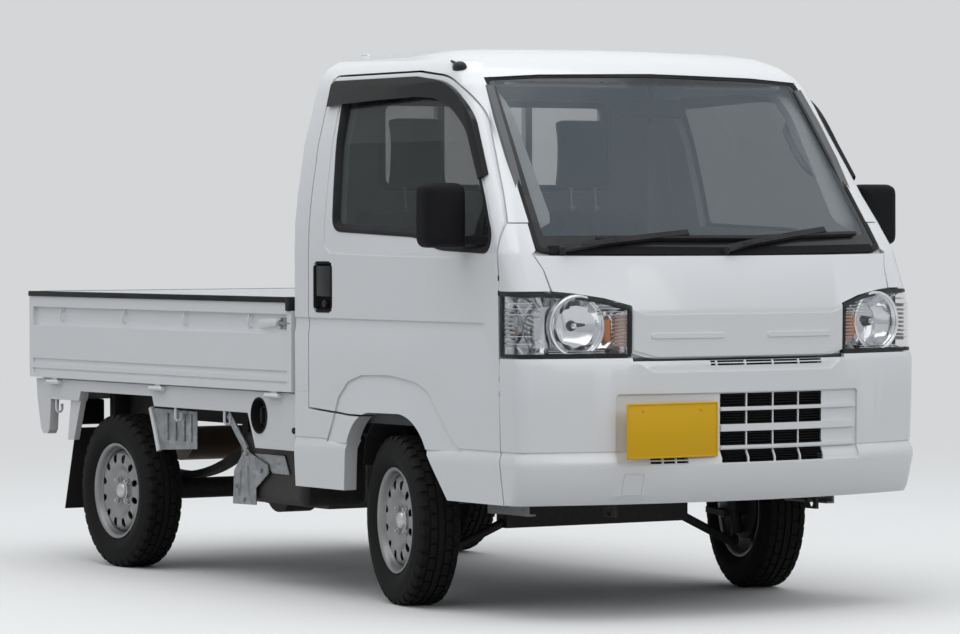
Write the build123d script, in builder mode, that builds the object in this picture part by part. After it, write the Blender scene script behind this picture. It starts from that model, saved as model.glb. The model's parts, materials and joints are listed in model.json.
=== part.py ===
"""A kei truck: a small cab-over pickup with a drop-sided load bed, as separate pieces.

Millimetres. X points forward, Y to the truck's left, Z up. The origin is on the ground, under
the middle of the truck's length and width. The front wheels stand steered to the right.
Places along the truck are measured forward from the front axle and turned into X by fx().
"""

from build123d import *
from math import cos, radians, sin
import os

os.makedirs("parts", exist_ok=True)

# Overall sizes
overall_length = 3395.0
overall_width = 1475.0
overall_height = 1735.0
wheelbase = 1900.0
front_overhang = 890.0
track = 1290.0
front_axle = overall_length / 2 - front_overhang
rear_end = -overall_length / 2 - front_axle
side = overall_width / 2
wheel_y = track / 2

# Wheels
tyre_radius = 264.0
tyre_width = 146.0
tyre_bead_radius = 158.0
rim_flange_radius = 165.0
rim_width = 112.0
rim_wall = 4.0
rim_well_depth = 12.0
disc_offset = 30.0
vent_holes = 12
vent_circle = 112.0
vent_radius = 11.0
hub_cap_radius = 32.0
drum_radius = 105.0
drum_width = 62.0

# Steering: the kingpin axis passes through the ball joint and leans in to the strut's top
steer_now = -11.7
ball_joint_y = 585.0
ball_joint_z = 178.0
strut_top_y = 495.0
strut_top_z = 629.0
strut_radius = 24.0
knuckle_radius = 20.0
knuckle_height = 150.0
steering_arm = 150.0
column_tilt = 48.0
steering_wheel_x = 250.0
steering_wheel_y = -330.0
steering_wheel_z = 1098.0
steering_wheel_radius = 185.0
steering_grip_radius = 13.0

# Shut lines, clearances and wall thicknesses
shut_gap = 6.5
seam = 3.0
fit = 0.3
cab_wall = 46.0
panel_wall = 14.0
front_wall = 60.0
lamp_depth = 90.0
lamp_wall = 5.0
lens_wall = 3.0
glass = 5.0
glass_set_back = 4.0
pane_set_back = 14.0
proud_depth = 12.0
sheet = 20.0

# Reach of the cuts that pass right through the cab's front, the cab, and the bumper
front_reach = (600.0, 900.0)
cab_reach = (-700.0, 900.0)
bumper_reach = (600.0, 1000.0)
width_reach = (-800.0, 800.0)

# Heights of the cab's main lines
sill_z = 345.0
footwell_z = 455.0
seat_base_z = 650.0
floor_half = 685.0
lamp_low_z = 786.0
lamp_top_z = 979.0
pillar_foot_z = 1188.0
door_top_z = 1655.0
roof_seam_z = 1689.0
header_z = 1588.0
header_y = 560.0
side_reach = 525.0
back_split_x = -525.0

# Plan sections of the cab, from the front axle. Columns: height, nose, where the front's arc
# meets the side, front half width, rear half width, back, front and rear corner radius.
cab_sections = (
    (300, 800, 690, 728, 730, -594, 50, 40),
    (345, 810, 700, 731, 733, -595, 50, 40),
    (450, 822, 712, 737.5, 737.5, -596, 50, 40),
    (478, 822, 712, 737.5, 737.5, -596, 50, 40),
    (504, 822, 712, 729, 729, -596, 50, 40),
    (506.5, 822, 712, 733, 733, -596, 50, 40),
    (760, 826, 716, 733, 733, -597, 50, 40),
    (784, 864, 742, 733, 733, -597, 60, 40),
    (930, 868, 740, 733, 733, -597, 65, 40),
    (1095, 795, 668, 732, 733, -597, 70, 40),
    (1190, 721, 606, 717, 730, -597, 75, 40),
    (1270, 658, 551, 701, 722, -596, 80, 40),
    (1440, 525, 436, 676, 696, -595, 80, 40),
    (1610, 392, 322, 650, 651, -593, 75, 45),
    (1650, 358, 284, 637, 639, -590, 80, 50),
    (overall_height - 52, 318, 236, 613, 616, -582, 90, 60),
    (overall_height - 27, 268, 174, 577, 581, -566, 100, 70),
    (overall_height - 9, 196, 92, 517, 523, -536, 110, 80),
    (overall_height, 70, -30, 405, 410, -470, 120, 90),
)
roof_dome_z = 1600.0

# Plan sections of the bumper. Columns: height, nose, where the front's arc meets the side,
# half width, corner radius.
bumper_back = 600.0
beam_half = 560.0
beam_z = (690.0, 750.0)
bumper_sections = (
    (346, 852, 716, 730, 50),
    (372, 866, 730, 733, 50),
    (458, 890, 751, 737.5, 50),
    (478, 889, 750, 737.5, 50),
    (504, 875, 739, 729, 50),
    (506.5, 877, 742, 733, 50),
    (640, 878, 746, 736, 50),
    (762, 880, 748, 736, 50),
    (783, 872, 742, 733, 50),
)

# Doors
door_front_low_x = 649.0
door_front_x = 629.0
door_rear_x = -505.0
door_step_z = 602.0
door_pin_inset = 0.5
door_hinge_heights = (700.0, 1000.0)
door_edge_at_hinges = (630.5, 624.8)
door_hinge_length = 60.0
door_barrel_length = 28.0
door_barrel_radius = 2.9
door_pin_radius = 1.5

# Door mirrors: the housing's middle, its size and the arm that joins it to the door
mirror_x = 440.0
mirror_y = 812.0
mirror_low_z = 1113.0
mirror_depth = 70.0
mirror_width = 146.0
mirror_height = 195.0
mirror_corner = 24.0
mirror_rounding = 18.0
mirror_arm_x = (430.0, 598.0)
mirror_arm_y = (690.0, 765.0)
mirror_arm_z = (1122.0, 1148.0)

# Pressings in the cab's sides. The band runs back from a place along the truck; its outline gives
# heights and half widths. The flare's outer and inner lines are X and Z places.
band_front_x = 545.0
band_outline = ((745, 889), (728.5, 887), (728.5, 860), (733.6, 834), (745, 834))
flare_depth = 5.5
flare_outer = ((-398, 495), (-362, 560), (-322, 640), (-262, 690), (-178, 712), (0, 716), (150, 699),
               (222, 672), (282, 610), (345, 545), (392, 510), (421, 495))
flare_inner = ((-270, 495), (-262, 520), (-240, 553), (-195, 580), (-120, 596), (0, 598), (90, 590),
               (150, 563), (185, 530), (205, 508), (214, 498), (216, 495))
surround_depth = 3.0
surround_outline = ((-432, 1600), (-414, 1140), (-402, 1110), (-372, 1093), (-100, 1086), (566, 1080),
                    (590, 1092), (592, 1150), (384, 1474), (300, 1560), (150, 1620), (-400, 1630))
handle_cup = (-470, -362, 909, 1063)
handle_depth = 24.0

# Front panel pressings and the bumper's recess, slots and grille. Rows are Y and Z places; the
# slots' columns are Y places.
panel_boss = ((-386, 926), (-345, 911), (345, 911), (386, 926), (386, 806), (312, 786), (-312, 786),
              (-386, 806))
panel_boss_depth = 3.5
panel_ribs = ((-330, -80), (80, 330))
panel_rib_z = 848.0
panel_rib_height = 15.0
recess_half = 447.0
recess_low_z = 462.0
recess_high_z = 676.0
recess_depth = 8.0
grille_rows = ((464, 502), (515, 557), (579, 619), (631, 672))
grille_columns = ((-97, -3), (2, 97), (102, 197), (202, 295))
grille_ribs = ((503.5, 513.5), (558.5, 577.5), (620.5, 629.5))
slot_rows = ((757, 763), (766, 772))
slot_columns = ((-130, -112), (-106, -8), (-2, 96), (102, 198), (204, 295))
small_grille_rows = ((466, 473), (477, 484))
small_grille_columns = ((-339, -301), (-296, -257), (-252, -213))
tow_cover = (-425, -361, 372, 438)
tow_cover_groove = 1.6
brow_outline = ((-330, 738), (330, 738), (388, 776), (388, 800), (-388, 800), (-388, 776))

# Number plate and its two feet
plate_x = 881.0
plate_wall = 4.0
plate_y = (-445.0, -115.0)
plate_z = (484.0, 649.0)
plate_feet_y = ((-380.0, -340.0), (-220.0, -180.0))
plate_feet_z = (560.0, 600.0)

# Windscreen, rear window, lamps and wipers: half outlines of Y and Z places, seen from the front
windshield_half = ((0, 1090), (-400, 1093), (-638, 1101), (-585, 1632), (-400, 1643), (0, 1650))
rear_window_half = 431.0
rear_window_z = (1305.0, 1578.0)
rear_window_corner = 20.0
lamp_points = (
    (-392, lamp_low_z),
    (-392, 936),
    (-470, 958),
    (-560, 973),
    (-640, lamp_top_z),
    (-780, lamp_top_z),
    (-780, lamp_low_z),
)
front_panel_half = ((0, 779), (-310, 779), (-350, 785), (-389, 797), (-389, 939), (-470, 962),
                    (-560, 977), (-622, 983), (-632, 1047), (-650, 1089), (-400, 1087), (0, 1086))
fender_corner = ((628.5, 983), (635, 1047), (656, 1095), (642, 1104), (634, 1185), (800, 1185), (800, 983))
wiper_strips = (
    ((-30, 1070), (-30, 1098), (-498, 1126), (-500, 1112)),
    ((522, 1070), (522, 1098), (54, 1126), (52, 1112)),
)

# Load bed
bed_front_x = -606.0
floor_grooves = (50, 150, 250, 350, 450, 550, 650)
floor_groove_width = 36.0
floor_groove_depth = 5.0
floor_step = 2.0
bed_floor_z = 660.0
bed_floor_depth = 20.0
gate_foot_z = 645.0
gate_top_z = 950.0
gate_wall = 30.0
gate_axis_z = 630.0
gate_axis_inset = 2.0
tail_axis_inset = 8.0
sill_back_x = -2483.0
sill_wall = 14.0
sill_low_z = 560.0
gate_barrel_radius = 7.5
gate_pin_radius = 4.0
gate_hinge_length = 90.0
gate_barrel_length = 40.0
side_gate_hinges = (-740.0, -1542.0, -2321.0)
tail_gate_hinges = (-500.0, 0.0, 500.0)
bed_rail_y = 722.0
bed_rail_wall = 34.0
bed_rail_low_z = 568.0
bed_rail_deep_z = 455.0
bed_rail_deep_x = -880.0
cross_member_depth = 45.0
cross_member_width = 70.0
cross_members = (-720.0, -1120.0, -1420.0, -2080.0, -2400.0)
rear_arch = (-2149.0, -1586.0)
rear_arch_z = 602.0
tail_lamp_y = 470.0
tail_lamp_width = 120.0
tail_lamp_height = 90.0
tail_lamp_depth = 43.0
guard_depth = 25.0
guard_bar = 26.0
guard_top_z = 1625.0
guard_posts_y = (-547.0, -171.0, 171.0, 547.0)
guard_half = 560.0
filler_x = -852.0
filler_z = 562.0
filler_width = 101.0
filler_height = 114.0

# Pressings in the gates: pairs of heights
gate_recess = (830.0, 896.0)
gate_recess_depth = 13.0
gate_grooves = ((694.0, 713.0), (664.0, 678.0))
gate_groove_depth = 5.0
gate_end = 28.0

# Mud flaps and their straps
strap_outline = ((-2229, 580), (-2149, 580), (-2209, 428), (-2256, 428))
strap_y = 690.0
strap_width = 22.0
flap_inner_y = 530.0
flap_outline = ((-2238, 470), (-2234, 470), (-2321, 180), (-2325, 180))

# Frame
rail_y = 345.0
rail_width = 60.0
rail_low_z = 350.0
rail_rear_low_z = 500.0
rail_front_x = 770.0
tie_eyes = ((-2320.0, rail_rear_low_z), (690.0, rail_low_z))
tie_eye_radius = 14.0

# Driveline, springs, fuel tank and silencer
axle_radius = 36.0
final_drive_radius = 98.0
spring_y = 415.0
spring_width = 50.0
spring_half = 500.0
spring_eye_z = 440.0
spring_pack = 25.0
engine_x = (-1560.0, -1130.0)
engine_half = 300.0
engine_low_z = 225.0
tank_x = (-1090.0, -650.0)
tank_y = (-670.0, -420.0)
tank_z = (270.0, 500.0)
tank_rounding = 30.0
silencer_x = -2280.0
silencer_z = 400.0
silencer_half = 250.0
silencer_depth = 190.0
silencer_height = 120.0

# Seats, dashboard and rain visors: closed outlines of X and Z places, seen from the side
seat_y = (90.0, 575.0)
cushion_outline = ((-20, 650), (0, 800), (-60, 830), (-420, 800), (-480, 650))
backrest_outline = ((-400, 790), (-370, 860), (-470, 1240), (-545, 1240), (-535, 760))
headrest_outline = ((-475, 1290), (-500, 1545), (-545, 1545), (-545, 1290))
headrest_y = 322.0
headrest_width = 218.0
headrest_post = 45.0
dashboard_outline = ((720, 1075), (420, 1085), (350, 1040), (370, 900), (480, 840), (720, 840))
dashboard_half = 650.0


def fx(x):
    """X of a place measured forward from the front axle."""
    return front_axle + x


def save(piece, label):
    """Names a piece and writes its STEP file."""
    piece.part.label = label
    export_step(piece.part, f"parts/{label}.step")


def plan_outline(nose, corner, half_front, half_rear, back, front_radius, rear_radius):
    """One plan section: a flat back, straight sides and a bowed front, its corners rounded."""
    with BuildSketch(mode=Mode.PRIVATE) as section:
        with BuildLine():
            Line((fx(back), half_rear), (fx(back), -half_rear))
            Line((fx(back), -half_rear), (fx(corner), -half_front))
            ThreePointArc((fx(corner), -half_front), (fx(nose), 0), (fx(corner), half_front))
            Line((fx(corner), half_front), (fx(back), half_rear))
        make_face()
        corners = section.vertices().sort_by(Axis.X)
        fillet(corners[-2:], front_radius)
        fillet(corners[:2], rear_radius)
    return section.sketch


def cab_form(inset):
    """The cab's outer volume, taken in on every side but the foot by inset."""
    sections = []
    for z, nose, corner, half_front, half_rear, back, front_radius, rear_radius in cab_sections:
        outline = plan_outline(
            nose - inset,
            corner - inset,
            half_front - inset,
            half_rear - inset,
            back + inset,
            front_radius - inset * 0.4,
            max(rear_radius - inset * 0.7, 8),
        )
        height = z - inset if z > roof_dome_z else z
        sections.append(Plane.XY.offset(height) * outline)
    with BuildPart(mode=Mode.PRIVATE) as form:
        loft(sections, ruled=True)
    return form.part


def bumper_form(inset):
    """The bumper's outer volume, taken in by inset at its front and sides."""
    sections = []
    for z, nose, corner, half_width, radius in bumper_sections:
        width = half_width - inset
        outline = plan_outline(
            nose - inset, corner - inset, width, width, bumper_back, radius - inset * 0.4, 5
        )
        sections.append(Plane.XY.offset(z) * outline)
    with BuildPart(mode=Mode.PRIVATE) as form:
        loft(sections, ruled=True)
    return form.part


def side_prism(gap):
    """The door's outline seen from the side, grown by gap and run right across the truck."""
    with BuildPart(mode=Mode.PRIVATE) as prism:
        with BuildSketch(Plane.XZ):
            with BuildLine():
                Polyline(
                    (fx(-100), sill_z),
                    (fx(door_front_low_x), sill_z),
                    (fx(634), 500),
                    (fx(door_front_x), lamp_low_z),
                    (fx(624), 1040),
                    (fx(605), 1187),
                    (fx(400), 1496),
                )
                ThreePointArc((fx(400), 1496), (fx(310), 1584), (fx(160), 1640))
                Line((fx(160), 1640), (fx(20), door_top_z))
                Line((fx(20), door_top_z), (fx(door_rear_x + 30), door_top_z))
                ThreePointArc(
                    (fx(door_rear_x + 30), door_top_z),
                    (fx(door_rear_x + 9), door_top_z - 9),
                    (fx(door_rear_x), door_top_z - 30),
                )
                Polyline(
                    (fx(door_rear_x), door_top_z - 30),
                    (fx(door_rear_x), door_step_z),
                    (fx(-253), 588),
                    (fx(-100), 588),
                    (fx(-100), sill_z),
                )
            make_face()
            if gap:
                offset(amount=gap, kind=Kind.INTERSECTION)
        extrude(amount=overall_width, both=True)
        add(block((-800, 900), (-side_reach, side_reach), (0, 2000)), mode=Mode.SUBTRACT)
    return prism.part


def arch_prism(gap):
    """The front wheel arch seen from the side, run right across the truck."""
    with BuildPart(mode=Mode.PRIVATE) as prism:
        with BuildSketch(Plane.XZ):
            with BuildLine():
                Line((fx(-297), 280), (fx(-272), 473))
                ThreePointArc((fx(-272), 473), (fx(-224), 556), (fx(-110), 596))
                Line((fx(-110), 596), (fx(50), 598))
                ThreePointArc((fx(50), 598), (fx(152), 563), (fx(222), 478))
                Line((fx(222), 478), (fx(385), 280))
                Line((fx(385), 280), (fx(-297), 280))
            make_face()
            if gap:
                offset(amount=gap, kind=Kind.INTERSECTION)
        extrude(amount=overall_width, both=True)
        add(block((-800, 900), (-side_reach, side_reach), (0, 2000)), mode=Mode.SUBTRACT)
    return prism.part


def front_prism(points, x_from, x_to):
    """A closed outline of Y and Z places, seen from the front, run along X."""
    with BuildPart(mode=Mode.PRIVATE) as prism:
        with BuildSketch(Plane.YZ.offset(fx(x_from))):
            with BuildLine():
                Polyline(*points, close=True)
            make_face()
        extrude(amount=x_to - x_from)
    return prism.part


def block(x, y, z):
    """A box between two places along X, Y and Z, each given as a pair."""
    with BuildPart(mode=Mode.PRIVATE) as box:
        with BuildSketch(Plane.XY.offset(z[0])):
            with Locations(((fx(x[0]) + fx(x[1])) / 2, (y[0] + y[1]) / 2)):
                Rectangle(abs(x[1] - x[0]), abs(y[1] - y[0]))
        extrude(amount=z[1] - z[0])
    return box.part


def mirrored(points):
    """A front outline's right half followed by its left half."""
    return list(points) + [(-y, z) for y, z in reversed(points) if y]


# The cab's nested forms
cab_plain = cab_form(0)
cab_inner = cab_form(cab_wall)
cab_panel_back = cab_form(panel_wall)
cab_front_face = cab_form(panel_wall + fit)
cab_front_back = cab_form(front_wall)
cab_lamp_back = cab_form(lamp_depth)
cab_floor_edge = cab_form(cab_wall + fit)

door_opening = side_prism(shut_gap)
door_outline = side_prism(0)
arch_opening = arch_prism(0)


def side_pressings():
    """What is cut from both flanks of the cab: the long band and the step round each wheel arch."""
    with BuildPart(mode=Mode.PRIVATE) as cut:
        for sign in (-1, 1):
            band = [(sign * y, z) for y, z in band_outline]
            add(front_prism(band, -620, band_front_x))
            deep = Plane.XZ.offset(-sign * (733 - flare_depth))
            with BuildSketch(deep):
                with BuildLine():
                    Polyline(*[(fx(x), z) for x, z in flare_outer], close=True)
                make_face()
            extrude(amount=-sign * 30)
    with BuildPart(mode=Mode.PRIVATE) as kept:
        for sign in (-1, 1):
            outlines = []
            for points, y in ((flare_outer, 733 - flare_depth), (flare_inner, 737.2)):
                with BuildSketch(Plane.XZ.offset(-sign * y), mode=Mode.PRIVATE) as level:
                    with BuildLine():
                        Polyline(*[(fx(x), z) for x, z in points], close=True)
                    make_face()
                outlines.append(level.sketch)
            loft(outlines, ruled=True)
    return cut.part, kept.part


pressings, flares = side_pressings()
with BuildPart(mode=Mode.PRIVATE) as pressed_form:
    add(cab_plain)
    add(pressings, mode=Mode.SUBTRACT)
    add(flares)
cab_outer = pressed_form.part

windshield_points = mirrored(windshield_half)
windshield_prism = front_prism(windshield_points, 200, 900)
rear_window_prism = block(
    (-650, -500), (-rear_window_half, rear_window_half), rear_window_z
)

# Cab shell, split into roof, back and sides
with BuildPart() as cab_shell:
    add(cab_outer)
    add(cab_inner, mode=Mode.SUBTRACT)
    add(door_opening, mode=Mode.SUBTRACT)
    add(arch_opening, mode=Mode.SUBTRACT)
    add(windshield_prism, mode=Mode.SUBTRACT)
    add(rear_window_prism, mode=Mode.SUBTRACT)

roof_region = block(cab_reach, width_reach, (roof_seam_z, 1800)) + block(
    cab_reach, (-header_y, header_y), (header_z, 1800)
)

with BuildPart() as cab_roof:
    add(cab_shell.part)
    add(roof_region, mode=Mode.INTERSECT)
save(cab_roof, "cab_roof")

with BuildPart() as cab_back:
    add(cab_shell.part)
    add(block((cab_reach[0], back_split_x), width_reach, (seat_base_z, roof_seam_z)), mode=Mode.INTERSECT)
    add(roof_region, mode=Mode.SUBTRACT)
save(cab_back, "cab_back")

with BuildPart() as cab_sides:
    add(cab_shell.part)
    upper = block((back_split_x, cab_reach[1]), width_reach, (pillar_foot_z, roof_seam_z))
    lower = block((back_split_x, -150), width_reach, (sill_z, pillar_foot_z))
    foot = block((cab_reach[0], back_split_x), width_reach, (sill_z, seat_base_z))
    add(upper + lower + foot, mode=Mode.INTERSECT)
    add(block((-700, -500), (-650, 650), (0, seat_base_z)), mode=Mode.SUBTRACT)
    add(roof_region, mode=Mode.SUBTRACT)
save(cab_sides, "cab_sides")

# Cab floor: a footwell ahead of the front wheels, a riser and the seats' base above them
with BuildPart() as cab_floor:
    with BuildSketch(Plane.XZ):
        with BuildLine():
            Polyline(
                (fx(840), footwell_z),
                (fx(375), footwell_z),
                (fx(365), seat_base_z),
                (fx(-592), seat_base_z),
                (fx(-592), seat_base_z - sheet),
                (fx(344), seat_base_z - sheet),
                (fx(354), footwell_z - sheet),
                (fx(840), footwell_z - sheet),
                close=True,
            )
        make_face()
    extrude(amount=width_reach[1], both=True)
    add(cab_floor_edge, mode=Mode.INTERSECT)
    for y in ((width_reach[0], -floor_half), (floor_half, width_reach[1])):
        add(block((-512, 660), y, (300, 700)), mode=Mode.SUBTRACT)
save(cab_floor, "cab_floor")

# Front structure behind the lamps and the front panel
with BuildPart() as cab_front:
    add(cab_front_face)
    add(cab_front_back, mode=Mode.SUBTRACT)
    add(block((450, cab_reach[1]), width_reach, (footwell_z, pillar_foot_z)), mode=Mode.INTERSECT)
    add(door_opening, mode=Mode.SUBTRACT)
    add(windshield_prism, mode=Mode.SUBTRACT)
    for points in (lamp_points, [(-y, z) for y, z in lamp_points]):
        add(front_prism(points, *front_reach), mode=Mode.SUBTRACT)
    add(block(front_reach, (-400, 400), (480, 700)), mode=Mode.SUBTRACT)
save(cab_front, "cab_front")

boss_form = cab_form(-panel_boss_depth)
rib_form = cab_form(-2 * panel_boss_depth)
with BuildPart(mode=Mode.PRIVATE) as panel_pressings:
    add(boss_form)
    add(front_prism(panel_boss, 700, 950), mode=Mode.INTERSECT)
    for start, end in panel_ribs:
        with BuildPart(mode=Mode.PRIVATE) as rib:
            with BuildSketch(Plane.YZ.offset(fx(700))):
                with Locations(((start + end) / 2, panel_rib_z)):
                    SlotOverall(end - start, panel_rib_height)
            extrude(amount=250)
            add(rib_form, mode=Mode.INTERSECT)
        add(rib.part)
    add(cab_panel_back, mode=Mode.SUBTRACT)

with BuildPart() as front_panel:
    add(cab_plain)
    add(cab_panel_back, mode=Mode.SUBTRACT)
    add(front_prism(mirrored(front_panel_half), *front_reach), mode=Mode.INTERSECT)
    add(panel_pressings.part)
save(front_panel, "front_panel")

# Fender corners, headlamps and their lenses: the right one, then its mirror image
lens_back = cab_form(lens_wall)
lamp_face = cab_form(lens_wall + fit)
lamp_hollow_back = cab_form(lamp_depth - lamp_wall)


def lamp_prism(sign, inset):
    """A headlamp's outline seen from the front, taken in by inset."""
    with BuildPart(mode=Mode.PRIVATE) as prism:
        with BuildSketch(Plane.YZ.offset(fx(500))):
            with BuildLine():
                Polyline(*[(-sign * y, z) for y, z in lamp_points], close=True)
            make_face()
            offset(amount=-inset, kind=Kind.INTERSECTION)
        extrude(amount=500)
    return prism.part


with BuildPart() as fender_corners:
    add(cab_plain)
    add(cab_panel_back, mode=Mode.SUBTRACT)
    left = front_prism(fender_corner, 500, 900)
    right = front_prism([(-y, z) for y, z in fender_corner], 500, 900)
    add(left + right, mode=Mode.INTERSECT)
    add(door_opening, mode=Mode.SUBTRACT)
save(fender_corners, "fender_corners")

lamp_prisms = lamp_prism(-1, fit) + lamp_prism(1, fit)
with BuildPart(mode=Mode.PRIVATE) as lamp_hollow:
    add(cab_plain)
    add(lamp_hollow_back, mode=Mode.SUBTRACT)
    add(lamp_prism(-1, lamp_wall) + lamp_prism(1, lamp_wall), mode=Mode.INTERSECT)
    add(side_prism(shut_gap + lamp_wall), mode=Mode.SUBTRACT)

with BuildPart() as headlamps:
    add(lamp_face)
    add(cab_lamp_back, mode=Mode.SUBTRACT)
    add(lamp_prisms, mode=Mode.INTERSECT)
    add(door_opening, mode=Mode.SUBTRACT)
    add(lamp_hollow.part, mode=Mode.SUBTRACT)
save(headlamps, "headlamps")

with BuildPart() as headlamp_lenses:
    add(cab_plain)
    add(lens_back, mode=Mode.SUBTRACT)
    add(lamp_prisms, mode=Mode.INTERSECT)
    add(door_opening, mode=Mode.SUBTRACT)
save(headlamp_lenses, "headlamp_lenses")

# Bumper with its recess and grille openings
bumper_outer = bumper_form(0)
bumper_inner = bumper_form(panel_wall)
bumper_recess_floor = bumper_form(recess_depth)
bumper_groove_floor = bumper_form(tow_cover_groove)
cover_y = (tow_cover[0] + tow_cover[1]) / 2
cover_z = (tow_cover[2] + tow_cover[3]) / 2
with BuildPart(mode=Mode.PRIVATE) as bumper_recess:
    with BuildSketch(Plane.YZ.offset(fx(600))):
        with Locations((0, (recess_low_z + recess_high_z) / 2)):
            RectangleRounded(2 * recess_half, recess_high_z - recess_low_z, 12)
    extrude(amount=400)
    for z in grille_ribs:
        add(block(bumper_reach, (grille_columns[0][0], recess_half - 12), z), mode=Mode.SUBTRACT)
    add(front_prism(brow_outline, *bumper_reach))
    add(bumper_recess_floor, mode=Mode.SUBTRACT)
with BuildPart(mode=Mode.PRIVATE) as cover_groove:
    with BuildSketch(Plane.YZ.offset(fx(600))):
        with Locations((cover_y, cover_z)):
            RectangleRounded(tow_cover[1] - tow_cover[0], tow_cover[3] - tow_cover[2], 6)
            RectangleRounded(
                tow_cover[1] - tow_cover[0] - 2 * tow_cover_groove,
                tow_cover[3] - tow_cover[2] - 2 * tow_cover_groove,
                5,
                mode=Mode.SUBTRACT,
            )
    extrude(amount=400)
    add(bumper_groove_floor, mode=Mode.SUBTRACT)
with BuildPart() as front_bumper:
    add(bumper_outer)
    add(bumper_inner, mode=Mode.SUBTRACT)
    add(block((bumper_back + 2, bumper_reach[1]), width_reach, (300, 800)), mode=Mode.INTERSECT)
    add(door_opening, mode=Mode.SUBTRACT)
    add(block(bumper_reach, (-392, 392), (773, 800)), mode=Mode.SUBTRACT)
    add(bumper_recess.part, mode=Mode.SUBTRACT)
    add(cover_groove.part, mode=Mode.SUBTRACT)
    for rows, columns in (
        (grille_rows, grille_columns),
        (slot_rows, slot_columns),
        (small_grille_rows, small_grille_columns),
    ):
        for z in rows:
            for y in columns:
                add(block(bumper_reach, y, z), mode=Mode.SUBTRACT)
save(front_bumper, "front_bumper")

bumper_seat = bumper_form(panel_wall + fit)
with BuildPart() as bumper_beam:
    add(block(bumper_reach, (-beam_half, beam_half), beam_z))
    add(bumper_seat, mode=Mode.INTERSECT)
    add(cab_panel_back, mode=Mode.SUBTRACT)
save(bumper_beam, "bumper_beam")

# Glass
with BuildPart() as windshield:
    add(cab_form(glass_set_back))
    add(cab_form(glass_set_back + glass), mode=Mode.SUBTRACT)
    with BuildSketch(Plane.YZ.offset(fx(200))):
        with BuildLine():
            Polyline(*windshield_points, close=True)
        make_face()
        offset(amount=-fit, kind=Kind.INTERSECTION)
    extrude(amount=700, mode=Mode.INTERSECT)
save(windshield, "windshield")

with BuildPart() as rear_window:
    with BuildSketch(Plane.YZ.offset(fx(-580))):
        with Locations((0, (rear_window_z[0] + rear_window_z[1]) / 2)):
            RectangleRounded(
                2 * rear_window_half - 2 * fit,
                rear_window_z[1] - rear_window_z[0] - 2 * fit,
                rear_window_corner,
            )
    extrude(amount=glass)
save(rear_window, "rear_window")

# Doors with their glass, mirrors and hinges
def window_prism(gap):
    """A door window's outline seen from the side, grown by gap and run right across the truck."""
    with BuildPart(mode=Mode.PRIVATE) as prism:
        with BuildSketch(Plane.XZ):
            with BuildLine():
                Polyline(
                    (fx(-405), 1560),
                    (fx(-352), 1175),
                    (fx(140), 1157),
                    (fx(281), 1118),
                    (fx(556), 1108),
                    (fx(560), 1150),
                    (fx(362), 1458),
                )
                ThreePointArc((fx(362), 1458), (fx(285), 1540), (fx(150), 1592))
                Polyline((fx(150), 1592), (fx(20), 1604), (fx(-360), 1604))
                ThreePointArc((fx(-360), 1604), (fx(-396), 1592), (fx(-405), 1560))
            make_face()
            if gap:
                offset(amount=gap, kind=Kind.INTERSECTION)
        extrude(amount=overall_width, both=True)
    return prism.part


window_cut = window_prism(0)
window_pane = window_prism(-fit)

hinge_low = (door_edge_at_hinges[0] + shut_gap / 2, door_hinge_heights[0])
hinge_high = (door_edge_at_hinges[1] + shut_gap / 2, door_hinge_heights[1])
hinge_y = 732.7 - door_pin_inset


def hinge_axis_x(z):
    """X of the door's hinge axis at a height, from the front axle."""
    share = (z - hinge_low[1]) / (hinge_high[1] - hinge_low[1])
    return hinge_low[0] + share * (hinge_high[0] - hinge_low[0])


def hinge_plane(z, sign):
    """A plane across the door's hinge axis at a height."""
    lean = (hinge_high[0] - hinge_low[0], 0, hinge_high[1] - hinge_low[1])
    return Plane(origin=(fx(hinge_axis_x(z)), sign * hinge_y, z), x_dir=(0, 1, 0), z_dir=lean)


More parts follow.
